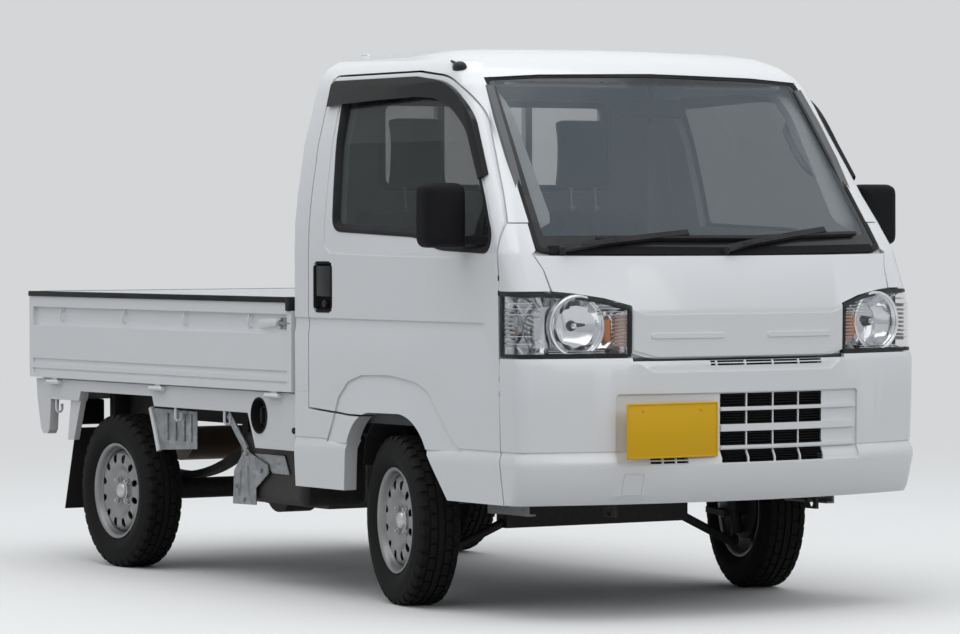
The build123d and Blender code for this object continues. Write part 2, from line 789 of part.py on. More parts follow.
glass_face = cab_form(pane_set_back)
glass_back = cab_form(pane_set_back + glass)
surround_floor = cab_form(surround_depth)
with BuildPart(mode=Mode.PRIVATE) as surround:
    with BuildSketch(Plane.XZ):
        with BuildLine():
            Polyline(*[(fx(x), z) for x, z in surround_outline], close=True)
        make_face()
    extrude(amount=overall_width, both=True)
    add(surround_floor, mode=Mode.SUBTRACT)
for label, sign in (("right", -1), ("left", 1)):
    half = block(cab_reach, tuple(sorted((0, sign * width_reach[1]))), (300, 1700))
    with BuildPart() as door:
        add(cab_outer)
        add(cab_inner, mode=Mode.SUBTRACT)
        add(half, mode=Mode.INTERSECT)
        add(door_outline, mode=Mode.INTERSECT)
        add(arch_opening, mode=Mode.SUBTRACT)
        add(surround.part, mode=Mode.SUBTRACT)
        add(window_cut, mode=Mode.SUBTRACT)
        cup_y = tuple(sorted((sign * (side - handle_depth), sign * (side + 20))))
        add(block(handle_cup[:2], cup_y, handle_cup[2:]), mode=Mode.SUBTRACT)
        for z in door_hinge_heights:
            with BuildSketch(hinge_plane(z - door_barrel_length / 2, sign)):
                Circle(door_barrel_radius)
                with Locations((0, 2.5)):
                    Rectangle(3, 5)
            extrude(amount=door_barrel_length)
            with BuildSketch(hinge_plane(z - door_barrel_length / 2, sign)):
                Circle(door_pin_radius + fit)
            extrude(amount=door_barrel_length, mode=Mode.SUBTRACT)
    save(door, f"door_{label}")
    with BuildPart() as door_glass:
        add(glass_face)
        add(glass_back, mode=Mode.SUBTRACT)
        add(half, mode=Mode.INTERSECT)
        add(window_pane, mode=Mode.INTERSECT)
    save(door_glass, f"door_glass_{label}")
    with BuildPart() as mirror:
        with BuildSketch(Plane.XY.offset(mirror_low_z)):
            with Locations((fx(mirror_x), sign * mirror_y)):
                RectangleRounded(mirror_depth, mirror_width, mirror_corner)
        extrude(amount=mirror_height)
        levels = mirror.edges().group_by(Axis.Z)
        fillet(levels[0] + levels[-1], mirror_rounding)
        arm_y = tuple(sorted((sign * mirror_arm_y[0], sign * mirror_arm_y[1])))
        add(block(mirror_arm_x, arm_y, mirror_arm_z))
        add(surround_floor, mode=Mode.SUBTRACT)
        add(door.part, mode=Mode.SUBTRACT)
    save(mirror, f"mirror_{label}")

with BuildPart() as door_hinges:
    for sign in (-1, 1):
        for z in door_hinge_heights:
            low = z - door_hinge_length / 2
            high = z + door_barrel_length / 2 + fit
            with BuildSketch(hinge_plane(low, sign)):
                Circle(door_pin_radius)
            extrude(amount=door_hinge_length)
            for foot in (low, high):
                with BuildSketch(hinge_plane(foot, sign)):
                    Circle(door_barrel_radius)
                extrude(amount=z + door_hinge_length / 2 - high)
save(door_hinges, "door_hinges")


def solid_of(points, plane, amount, both=False):
    """A closed outline run square to its plane."""
    with BuildPart(mode=Mode.PRIVATE) as prism:
        with BuildSketch(plane):
            with BuildLine():
                Polyline(*points, close=True)
            make_face()
        extrude(amount=amount, both=both)
    return prism.part


def rod(start, end, radius):
    """A round bar between two places measured from the front axle."""
    first = Vector(fx(start[0]), start[1], start[2])
    last = Vector(fx(end[0]), end[1], end[2])
    with BuildPart(mode=Mode.PRIVATE) as bar:
        with BuildSketch(Plane(origin=first, z_dir=last - first)):
            Circle(radius)
        extrude(amount=(last - first).length)
    return bar.part


# Frame rails
rail_top_z = bed_floor_z - bed_floor_depth - cross_member_depth
with BuildPart() as frame_rails:
    for y in (-rail_y - rail_width, rail_y):
        with BuildSketch(Plane.XZ.offset(-y)):
            with BuildLine():
                Polyline(
                    (fx(rail_front_x), footwell_z - sheet),
                    (fx(-400), footwell_z - sheet),
                    (fx(-505), seat_base_z - sheet - 60),
                    (fx(-515), seat_base_z - sheet),
                    (fx(-575), seat_base_z - sheet),
                    (fx(-600), rail_top_z),
                    (fx(sill_back_x + sill_wall + fit), rail_top_z),
                    (fx(sill_back_x + sill_wall + fit), rail_rear_low_z),
                    (fx(-620), rail_rear_low_z),
                    (fx(-430), rail_low_z),
                    (fx(rail_front_x), rail_low_z),
                    close=True,
                )
            make_face()
        extrude(amount=-rail_width)
    for y in (-rail_y - 35, rail_y + 25):
        for x, z in tie_eyes:
            with BuildSketch(Plane.XZ.offset(-y)):
                with Locations((fx(x), z - 25)):
                    Rectangle(60, 50)
                with Locations((fx(x), z - 32)):
                    Circle(tie_eye_radius, mode=Mode.SUBTRACT)
            extrude(amount=-10)
save(frame_rails, "frame_rails")

floor_under_z = bed_floor_z - bed_floor_depth
between_rails_y = bed_rail_y - bed_rail_wall
with BuildPart() as bed_cross_members:
    for x in cross_members:
        add(
            block(
                (x - cross_member_width / 2, x + cross_member_width / 2),
                (-between_rails_y, between_rails_y),
                (rail_top_z, floor_under_z),
            )
        )
save(bed_cross_members, "bed_cross_members")

bed_inner_y = side - gate_wall - shut_gap
bed_back_x = rear_end + gate_wall + shut_gap
floor_front_x = bed_front_x - gate_wall - seam / 2
with BuildPart() as bed_floor:
    add(block((bed_back_x, bed_front_x), (-bed_inner_y, bed_inner_y), (floor_under_z, bed_floor_z)))
    add(
        block((floor_front_x, bed_front_x), (-side, side), (bed_floor_z - floor_step, bed_floor_z)),
        mode=Mode.SUBTRACT,
    )
    for y in floor_grooves:
        for middle in (-y, y):
            add(
                block(
                    (bed_back_x + 40, floor_front_x - 40),
                    (middle - floor_groove_width / 2, middle + floor_groove_width / 2),
                    (bed_floor_z - floor_groove_depth, bed_floor_z),
                ),
                mode=Mode.SUBTRACT,
            )
save(bed_floor, "bed_floor")

with BuildPart() as headboard:
    add(
        block(
            (bed_front_x - gate_wall, bed_front_x),
            (-bed_inner_y, bed_inner_y),
            (bed_floor_z - floor_step, gate_top_z),
        )
    )
    guard_x = (bed_front_x - seam - guard_depth, bed_front_x - seam)
    for y in guard_posts_y:
        post_y = (y - guard_bar / 2, y + guard_bar / 2)
        add(block(guard_x, post_y, (gate_top_z, guard_top_z - guard_depth)))
    add(block(guard_x, (-guard_half, guard_half), (guard_top_z - guard_depth, guard_top_z)))
save(headboard, "headboard")

with BuildPart() as bed_side_rails:
    for y in (-bed_rail_y, bed_rail_y - bed_rail_wall):
        with BuildSketch(Plane.XZ.offset(-y)):
            with BuildLine():
                Polyline(
                    (fx(bed_front_x), floor_under_z - fit),
                    (fx(bed_front_x), bed_rail_deep_z),
                    (fx(bed_rail_deep_x), bed_rail_deep_z),
                    (fx(bed_rail_deep_x - 50), bed_rail_low_z),
                    (fx(rear_arch[1]), bed_rail_low_z),
                    (fx(rear_arch[1] - 14), rear_arch_z),
                    (fx(rear_arch[0] + 14), rear_arch_z),
                    (fx(rear_arch[0]), bed_rail_low_z),
                    (fx(-2369), bed_rail_low_z),
                    (fx(-2380), 460),
                    (fx(-2395), 444),
                    (fx(-2430), 444),
                    (fx(-2448), 462),
                    (fx(-2475), bed_rail_low_z),
                    (fx(sill_back_x), floor_under_z - fit),
                    close=True,
                )
            make_face()
        extrude(amount=-bed_rail_wall)
    with BuildSketch(Plane.XZ.offset(bed_rail_y - bed_rail_wall)):
        with Locations((fx(filler_x), filler_z)):
            Ellipse(filler_width / 2, filler_height / 2)
    extrude(amount=bed_rail_wall, mode=Mode.SUBTRACT)
    for y in (-strap_y - strap_width, strap_y):
        strap = [(fx(x), z) for x, z in strap_outline]
        add(solid_of(strap, Plane.XZ.offset(-y), -strap_width))
save(bed_side_rails, "bed_side_rails")

with BuildPart() as mud_flaps:
    for y in (-strap_y, flap_inner_y):
        flap = [(fx(x), z) for x, z in flap_outline]
        add(solid_of(flap, Plane.XZ.offset(-y), flap_inner_y - strap_y))
save(mud_flaps, "mud_flaps")

with BuildPart() as rear_sill:
    reach = between_rails_y - fit
    add(block((sill_back_x, sill_back_x + sill_wall), (-reach, reach), (sill_low_z, floor_under_z)))
save(rear_sill, "rear_sill")

with BuildPart() as tail_lamps:
    for y in (-tail_lamp_y - tail_lamp_width, tail_lamp_y):
        depth = (sill_back_x - 1, sill_back_x + tail_lamp_depth)
        add(block(depth, (y, y + tail_lamp_width), (sill_low_z - tail_lamp_height, sill_low_z)))
save(tail_lamps, "tail_lamps")

# Drop gates
gate_axis_y = side - gate_axis_inset
gate_axis_x = rear_end + tail_axis_inset
gate_pressings = [(gate_recess_depth, gate_recess)]
gate_pressings += [(gate_groove_depth, heights) for heights in gate_grooves]
for label, sign in (("right", -1), ("left", 1)):
    with BuildPart() as side_gate:
        near, far = sorted((sign * (side - gate_wall), sign * side))
        add(block((rear_end, bed_front_x - shut_gap), (near, far), (gate_foot_z, gate_top_z)))
        for depth, heights in gate_pressings:
            cut_y = tuple(sorted((sign * (side - depth), sign * (side + 5))))
            add(
                block((rear_end + gate_end, bed_front_x - shut_gap - gate_end), cut_y, heights),
                mode=Mode.SUBTRACT,
            )
        for x in side_gate_hinges:
            with BuildSketch(Plane.YZ.offset(fx(x - gate_barrel_length / 2))):
                with Locations((sign * gate_axis_y, gate_axis_z)):
                    Circle(gate_barrel_radius)
                with Locations((sign * (gate_axis_y - 5.5), gate_axis_z + 9)):
                    Rectangle(4, 14)
            extrude(amount=gate_barrel_length)
            with BuildSketch(Plane.YZ.offset(fx(x - gate_barrel_length / 2))):
                with Locations((sign * gate_axis_y, gate_axis_z)):
                    Circle(gate_pin_radius + fit)
            extrude(amount=gate_barrel_length, mode=Mode.SUBTRACT)
    save(side_gate, f"side_gate_{label}")

with BuildPart() as tail_gate:
    add(block((rear_end, rear_end + gate_wall), (-bed_inner_y, bed_inner_y), (gate_foot_z, gate_top_z)))
    for depth, heights in gate_pressings:
        add(
            block(
                (rear_end - 5, rear_end + depth),
                (gate_end - bed_inner_y, bed_inner_y - gate_end),
                heights,
            ),
            mode=Mode.SUBTRACT,
        )
    for y in tail_gate_hinges:
        with BuildSketch(Plane.XZ.offset(gate_barrel_length / 2 - y)):
            with Locations((fx(gate_axis_x), gate_axis_z)):
                Circle(gate_barrel_radius)
            with Locations((fx(gate_axis_x + 5.5), gate_axis_z + 9)):
                Rectangle(4, 14)
        extrude(amount=-gate_barrel_length)
        with BuildSketch(Plane.XZ.offset(gate_barrel_length / 2 - y)):
            with Locations((fx(gate_axis_x), gate_axis_z)):
                Circle(gate_pin_radius + fit)
        extrude(amount=-gate_barrel_length, mode=Mode.SUBTRACT)
save(tail_gate, "tail_gate")

half_pin = gate_hinge_length / 2
leaf_start = gate_barrel_length / 2 + 0.5
leaf_length = half_pin - leaf_start
with BuildPart() as gate_hinges:
    for sign in (-1, 1):
        for x in side_gate_hinges:
            with BuildSketch(Plane.YZ.offset(fx(x - half_pin))):
                with Locations((sign * gate_axis_y, gate_axis_z)):
                    Circle(gate_pin_radius)
            extrude(amount=gate_hinge_length)
            for start in (x - half_pin, x + leaf_start):
                with BuildSketch(Plane.YZ.offset(fx(start))):
                    with Locations((sign * gate_axis_y, gate_axis_z)):
                        Circle(gate_barrel_radius)
                    with Locations((sign * (bed_rail_y + gate_axis_y) / 2, gate_axis_z)):
                        Rectangle(gate_axis_y - bed_rail_y, 8)
                extrude(amount=leaf_length)
    for y in tail_gate_hinges:
        with BuildSketch(Plane.XZ.offset(half_pin - y)):
            with Locations((fx(gate_axis_x), gate_axis_z)):
                Circle(gate_pin_radius)
        extrude(amount=-gate_hinge_length)
        for start in (y - half_pin, y + leaf_start):
            with BuildSketch(Plane.XZ.offset(-start)):
                with Locations((fx(gate_axis_x), gate_axis_z)):
                    Circle(gate_barrel_radius)
                with Locations((fx((gate_axis_x + sill_back_x) / 2), gate_axis_z)):
                    Rectangle(sill_back_x - gate_axis_x, 8)
            extrude(amount=-leaf_length)
save(gate_hinges, "gate_hinges")

# Wheels, drawn about their own axis with the outer side up
with BuildPart(mode=Mode.PRIVATE) as tyre_form:
    half = tyre_width / 2
    bead = rim_width / 2
    with BuildSketch(Plane.XZ):
        with BuildLine():
            Line((tyre_bead_radius + fit, -bead), (tyre_bead_radius + fit, bead))
            Line((tyre_bead_radius + fit, bead), (167, bead))
            ThreePointArc((167, bead), (212, half), (250, 64))
            ThreePointArc((250, 64), (258, 60), (261, 52))
            ThreePointArc((261, 52), (tyre_radius, 0), (261, -52))
            ThreePointArc((261, -52), (258, -60), (250, -64))
            ThreePointArc((250, -64), (212, -half), (167, -bead))
            Line((167, -bead), (tyre_bead_radius + fit, -bead))
        make_face()
        with BuildLine():
            Line((tyre_bead_radius + fit, -bead + 14), (tyre_bead_radius + fit, bead - 14))
            ThreePointArc((tyre_bead_radius + fit, bead - 14), (212, half - 9), (246, 52))
            Line((246, 52), (246, -52))
            ThreePointArc((246, -52), (212, -half + 9), (tyre_bead_radius + fit, -bead + 14))
        make_face(mode=Mode.SUBTRACT)
    revolve(axis=Axis.Z)

bead_edge = rim_width / 2 + fit
lip = rim_width / 2 + rim_wall
well = tyre_bead_radius - rim_well_depth
drum_back = disc_offset - rim_wall - drum_width
with BuildPart(mode=Mode.PRIVATE) as wheel_form:
    with BuildSketch(Plane.XZ):
        with BuildLine():
            Polyline(
                (rim_flange_radius, lip),
                (tyre_bead_radius - rim_wall, lip),
                (tyre_bead_radius - rim_wall, 38),
                (well - rim_wall, 30),
                (well - rim_wall, -38),
                (tyre_bead_radius - rim_wall, -46),
                (tyre_bead_radius - rim_wall, -lip),
                (rim_flange_radius, -lip),
                (rim_flange_radius, -bead_edge),
                (tyre_bead_radius, -bead_edge),
                (tyre_bead_radius, -44),
                (well, -36),
                (well, 28),
                (tyre_bead_radius, 36),
                (tyre_bead_radius, bead_edge),
                (rim_flange_radius, bead_edge),
                close=True,
            )
        make_face()
        with BuildLine():
            Polyline(
                (0, disc_offset),
                (78, disc_offset),
                (92, disc_offset + 16),
                (128, disc_offset + 16),
                (142.5, disc_offset - 8),
                (142.5, disc_offset - 18),
                (125, disc_offset + 11),
                (95, disc_offset + 11),
                (81, disc_offset - rim_wall - 0.1),
                (0, disc_offset - rim_wall - 0.1),
                close=True,
            )
        make_face()
        with BuildLine():
            Line((0, disc_offset), (0, disc_offset + 22))
            ThreePointArc((0, disc_offset + 22), (20, disc_offset + 19), (hub_cap_radius, disc_offset))
            Line((hub_cap_radius, disc_offset), (0, disc_offset))
        make_face()
    revolve(axis=Axis.Z)
    with BuildSketch(Plane.XY.offset(disc_offset - 10)):
        with PolarLocations(vent_circle, vent_holes):
            Circle(vent_radius)
    extrude(amount=40, mode=Mode.SUBTRACT)
    with BuildSketch(Plane.XY.offset(drum_back)):
        Circle(drum_radius - 8)
    extrude(amount=drum_width)

with BuildPart(mode=Mode.PRIVATE) as hub_form:
    with BuildSketch(Plane.XY.offset(drum_back - 6)):
        Circle(drum_radius)
    extrude(amount=6 - fit)
    with BuildSketch(Plane.XY.offset(drum_back - 44)):
        Circle(30)
    extrude(amount=40)


def at_wheel(shape, x, sign):
    """Places a wheel-centred shape at a wheel, its outer side outwards."""
    centre = (fx(x), sign * wheel_y, tyre_radius)
    return shape.moved(Location(Plane(centre, x_dir=(1, 0, 0), z_dir=(0, sign, 0))))


def kingpin(sign):
    """The axis that a front wheel is steered about, pointing up."""
    return Axis((fx(0), sign * ball_joint_y, ball_joint_z),
                (0, sign * (strut_top_y - ball_joint_y), strut_top_z - ball_joint_z))


for label, sign in (("right", -1), ("left", 1)):
    for end, x in (("front", 0), ("rear", -wheelbase)):
        turn = steer_now if end == "front" else 0
        with BuildPart() as tyre:
            add(at_wheel(tyre_form.part, x, sign).rotate(kingpin(sign), turn))
        save(tyre, f"tyre_{end}_{label}")
        with BuildPart() as wheel:
            add(at_wheel(wheel_form.part, x, sign).rotate(kingpin(sign), turn))
        save(wheel, f"wheel_{end}_{label}")

    with BuildPart() as knuckle:
        add(at_wheel(hub_form.part, 0, sign).rotate(kingpin(sign), steer_now))
        lean = (strut_top_y - ball_joint_y) / (strut_top_z - ball_joint_z)
        foot = (0, sign * ball_joint_y, ball_joint_z)
        knee = (0, sign * (ball_joint_y + lean * knuckle_height), ball_joint_z + knuckle_height)
        top = (0, sign * (strut_top_y - lean * 6), strut_top_z - 6)
        add(rod(foot, knee, knuckle_radius))
        add(rod(knee, top, strut_radius))
        arm = block((-steering_arm, 0), tuple(sorted((sign * 535, sign * 560))), (230, 250))
        add(arm.rotate(kingpin(sign), steer_now))
    save(knuckle, f"knuckle_{label}")

# Suspension and driveline
with BuildPart() as front_cross_member:
    for sign in (-1, 1):
        add(rod((0, sign * 560, ball_joint_z - 29), (30, sign * 330, 250), 14))
        seat_z = ball_joint_z - 24.2
        add(rod((0, sign * 575, seat_z), (0, sign * 560, seat_z), knuckle_radius))
    add(block((0, 60), (-rail_y, rail_y), (230, rail_low_z)))
save(front_cross_member, "front_cross_member")

with BuildPart() as rear_axle:
    half_axle = wheel_y - 42
    add(rod((-wheelbase, -half_axle, tyre_radius), (-wheelbase, half_axle, tyre_radius), axle_radius))
    add(rod((-wheelbase, -60, tyre_radius), (-wheelbase, 60, tyre_radius), final_drive_radius))
    for sign in (-1, 1):
        add(at_wheel(hub_form.part, -wheelbase, sign))
save(rear_axle, "rear_axle")

spring_foot = tyre_radius + axle_radius + fit
with BuildPart() as leaf_springs:
    for y in (-spring_y - spring_width, spring_y):
        near, far = fx(-wheelbase + spring_half), fx(-wheelbase - spring_half)
        with BuildSketch(Plane.XZ.offset(-y)):
            with BuildLine():
                ThreePointArc((near, spring_eye_z), (fx(-wheelbase), spring_foot), (far, spring_eye_z))
                Line((far, spring_eye_z), (far, spring_eye_z + 15))
                ThreePointArc(
                    (far, spring_eye_z + 15),
                    (fx(-wheelbase), spring_foot + spring_pack),
                    (near, spring_eye_z + 15),
                )
                Line((near, spring_eye_z + 15), (near, spring_eye_z))
            make_face()
        extrude(amount=-spring_width)
        inner_y = rail_y + rail_width + fit
        hanger_y = (inner_y, y + spring_width) if y > 0 else (y, -inner_y)
        for x in (-wheelbase + spring_half - 30, -wheelbase - spring_half - 10):
            add(block((x, x + 40), hanger_y, (spring_eye_z - 10, rail_top_z - 1)))
save(leaf_springs, "leaf_springs")

with BuildPart() as engine_block:
    add(block(engine_x, (-engine_half, engine_half), (engine_low_z, rail_top_z)))
save(engine_block, "engine_block")

with BuildPart() as fuel_tank:
    add(block(tank_x, tank_y, tank_z))
    fillet(fuel_tank.edges(), tank_rounding)
    add(block((-740, -700), (-600, -500), (tank_z[1] - 20, rail_top_z - fit)))
save(fuel_tank, "fuel_tank")

with BuildPart() as exhaust:
    with BuildSketch(Plane.XZ.offset(silencer_half)):
        with Locations((fx(silencer_x), silencer_z)):
            Ellipse(silencer_depth / 2, silencer_height / 2)
    extrude(amount=-2 * silencer_half)
    for y in (-200, 180):
        hanger_x = silencer_x - silencer_depth / 2 - 15
        hanger_z = silencer_z - 5
        add(block((hanger_x, silencer_x - 60), (y, y + 20), (hanger_z, hanger_z + 20)))
        add(block((hanger_x, hanger_x + 20), (y, y + 20), (hanger_z, rail_top_z - fit)))
save(exhaust, "exhaust")

# Cab inside
with BuildPart() as dashboard:
    with BuildSketch(Plane.XZ):
        with BuildLine():
            Polyline(*[(fx(x), z) for x, z in dashboard_outline], close=True)
        make_face()
    extrude(amount=dashboard_half, both=True)
    add(cab_form(lamp_depth + fit), mode=Mode.INTERSECT)
save(dashboard, "dashboard")

for label, sign in (("driver", -1), ("passenger", 1)):
    with BuildPart() as seat:
        y = tuple(sorted((sign * seat_y[0], sign * seat_y[1])))
        middle = sign * headrest_y
        head = (middle - headrest_width / 2, middle + headrest_width / 2)
        for outline, (right, left) in (
            (cushion_outline, y),
            (backrest_outline, y),
            (headrest_outline, head),
        ):
            places = [(fx(x), z) for x, z in outline]
            add(solid_of(places, Plane.XZ.offset(-right), right - left))
        for post in (middle - headrest_post, middle + headrest_post):
            add(rod((-510, post, 1230), (-515, post, 1300), 6))
    save(seat, f"{label}_seat")

wheel_axis = Vector(-cos(radians(column_tilt)), 0, sin(radians(column_tilt)))
wheel_plane = Plane(
    origin=(fx(steering_wheel_x), steering_wheel_y, steering_wheel_z),
    x_dir=(0, 1, 0),
    z_dir=wheel_axis,
)
rim_y = steering_wheel_radius - steering_grip_radius
with BuildPart() as steering_wheel:
    with BuildSketch(Plane(wheel_plane.origin, x_dir=wheel_plane.x_dir, z_dir=wheel_plane.y_dir)):
        with Locations((rim_y, 0)):
            Circle(steering_grip_radius)
    revolve(axis=Axis(wheel_plane.origin, wheel_plane.z_dir))
    with BuildSketch(wheel_plane.offset(-40)):
        Circle(50)
    extrude(amount=30)
    with BuildSketch(wheel_plane.offset(-30)):
        with PolarLocations(0, 3, start_angle=90):
            with Locations((90, 0)):
                Rectangle(180 - 8, 26)
    extrude(amount=12)
    with BuildSketch(wheel_plane.offset(-22)):
        with PolarLocations(rim_y, 3, start_angle=90):
            Circle(9)
    extrude(amount=22)
save(steering_wheel, "steering_wheel")

with BuildPart() as steering_column:
    with BuildSketch(wheel_plane.offset(-40 - fit)):
        Circle(32)
    extrude(amount=-200)
    add(dashboard.part, mode=Mode.SUBTRACT)
save(steering_column, "steering_column")

with BuildPart() as number_plate:
    for y in plate_feet_y:
        add(block((plate_x - 60, plate_x), y, plate_feet_z))
    add(bumper_recess_floor, mode=Mode.SUBTRACT)
    add(block((plate_x, plate_x + plate_wall), plate_y, plate_z))
save(number_plate, "number_plate")

cab_proud = cab_form(-proud_depth)
with BuildPart() as wipers:
    add(cab_proud)
    add(cab_outer, mode=Mode.SUBTRACT)
    first, second = wiper_strips
    add(front_prism(first, *front_reach) + front_prism(second, *front_reach), mode=Mode.INTERSECT)
save(wipers, "wipers")

for label, sign in (("right", -1), ("left", 1)):
    with BuildPart() as rain_visor:
        with BuildSketch(Plane.XZ.offset(-sign * side_reach)):
            with BuildLine():
                Polyline(
                    (fx(-488), 1560), (fx(-488), 1632), (fx(-470), 1643), (fx(30), 1643), (fx(155), 1629)
                )
                ThreePointArc((fx(155), 1629), (fx(300), 1574), (fx(388), 1490))
                Polyline((fx(388), 1490), (fx(492), 1333), (fx(470), 1318), (fx(372), 1462))
                ThreePointArc((fx(372), 1462), (fx(278), 1530), (fx(150), 1572))
                Polyline((fx(150), 1572), (fx(20), 1580), (fx(-400), 1566), (fx(-488), 1560))
            make_face()
        extrude(amount=-sign * 300)
        add(cab_proud, mode=Mode.INTERSECT)
        add(cab_outer, mode=Mode.SUBTRACT)
    save(rain_visor, f"rain_visor_{label}")
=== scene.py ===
"""Looks for a small cab-over pickup truck with a drop-sided bed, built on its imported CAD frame.

A mesh is made in millimetres, with X counted forward from the front axle, as the truck was
measured, and turned into metres in the frame when it becomes a piece.
"""
import json
import logging
import math
from dataclasses import dataclass
from enum import Enum
from typing import Callable, ClassVar, Iterable, Sequence

import bmesh
import bpy
from mathutils import Matrix, Vector
from mathutils.bvhtree import BVHTree


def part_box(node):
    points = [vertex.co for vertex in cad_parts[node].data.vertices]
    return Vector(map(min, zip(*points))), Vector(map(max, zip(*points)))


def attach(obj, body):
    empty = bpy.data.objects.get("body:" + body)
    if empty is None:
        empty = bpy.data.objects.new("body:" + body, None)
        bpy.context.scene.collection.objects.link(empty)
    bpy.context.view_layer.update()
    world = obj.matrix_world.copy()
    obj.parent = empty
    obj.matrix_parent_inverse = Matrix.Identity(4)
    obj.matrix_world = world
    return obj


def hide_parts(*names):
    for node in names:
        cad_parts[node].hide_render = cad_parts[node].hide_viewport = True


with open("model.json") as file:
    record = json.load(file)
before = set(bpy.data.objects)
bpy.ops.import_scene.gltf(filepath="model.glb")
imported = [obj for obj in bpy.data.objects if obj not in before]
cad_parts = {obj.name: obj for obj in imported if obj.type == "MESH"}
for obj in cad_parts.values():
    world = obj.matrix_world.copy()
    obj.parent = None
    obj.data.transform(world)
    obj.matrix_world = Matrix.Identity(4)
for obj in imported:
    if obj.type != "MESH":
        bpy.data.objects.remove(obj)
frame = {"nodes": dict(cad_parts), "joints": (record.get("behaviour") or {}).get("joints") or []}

LOG = logging.getLogger("truck")
FRONT_AXLE = 0.8075     # metres ahead of the frame's middle
MM = 0.001              # metres in a millimetre
PER_METRE = 1000        # millimetres in a metre
CLOTH_PRESSURE = 4.0
CLOTH_FRAMES = 20
SIDES = (("right", -1), ("left", 1))
Place = Sequence[float]


def measured(point: Vector) -> Vector:
    """A place in the frame, in millimetres from the front axle."""
    return (point - Vector((FRONT_AXLE, 0, 0))) * PER_METRE


def corners(node: str) -> list[Vector]:
    """The lowest and highest corners of a CAD node's box, in millimetres from the front axle."""
    return [measured(point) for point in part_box(node)]


def joint_of(name: str) -> dict:
    """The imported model's joint of this name."""
    return next(joint for joint in frame["joints"] if joint["name"] == name)


def standing(place: Place, across: Vector, up: Vector, out: Vector) -> Matrix:
    """A place whose own X, Y and Z run along three directions."""
    return Matrix.Translation(place) @ Matrix((across, up, out)).transposed().to_4x4()


def verts_in(made: Iterable) -> list[bmesh.types.BMVert]:
    """The vertices among some new geometry."""
    return [part for part in made if isinstance(part, bmesh.types.BMVert)]


# Shader maths

def operator(kind: str, swapped: bool = False) -> Callable:
    """Makes one of a value's operators.

    Args:
        kind: The Math node that it adds.
        swapped: True where the other value comes first.

    Returns:
        The operator.
    """
    def run(value: "Value", other: "Value | float" = 0.0) -> "Value":
        """The node's result for this value and another."""
        pair = (other, value) if swapped else (value, other)
        return value.shader.node("ShaderNodeMath", {"operation": kind}, {0: pair[0], 1: pair[1]})
    return run


class Value:
    """A socket that takes part in Python arithmetic: each operator adds its Math node."""

    def __init__(self, shader: "Shader", socket: bpy.types.NodeSocket) -> None:
        """Keeps an output socket and the shader that it belongs to."""
        self.shader = shader
        self.socket = socket

    __add__, __radd__ = operator("ADD"), operator("ADD", True)
    __sub__, __rsub__ = operator("SUBTRACT"), operator("SUBTRACT", True)
    __mul__, __rmul__ = operator("MULTIPLY"), operator("MULTIPLY", True)
    __gt__, __lt__ = operator("GREATER_THAN"), operator("LESS_THAN")
    lower, upper = operator("MINIMUM"), operator("MAXIMUM")
    __abs__ = operator("ABSOLUTE")

    def held(self) -> "Value":
        """The value kept from 0 to 1."""
        return self.lower(1.0).upper(0.0)


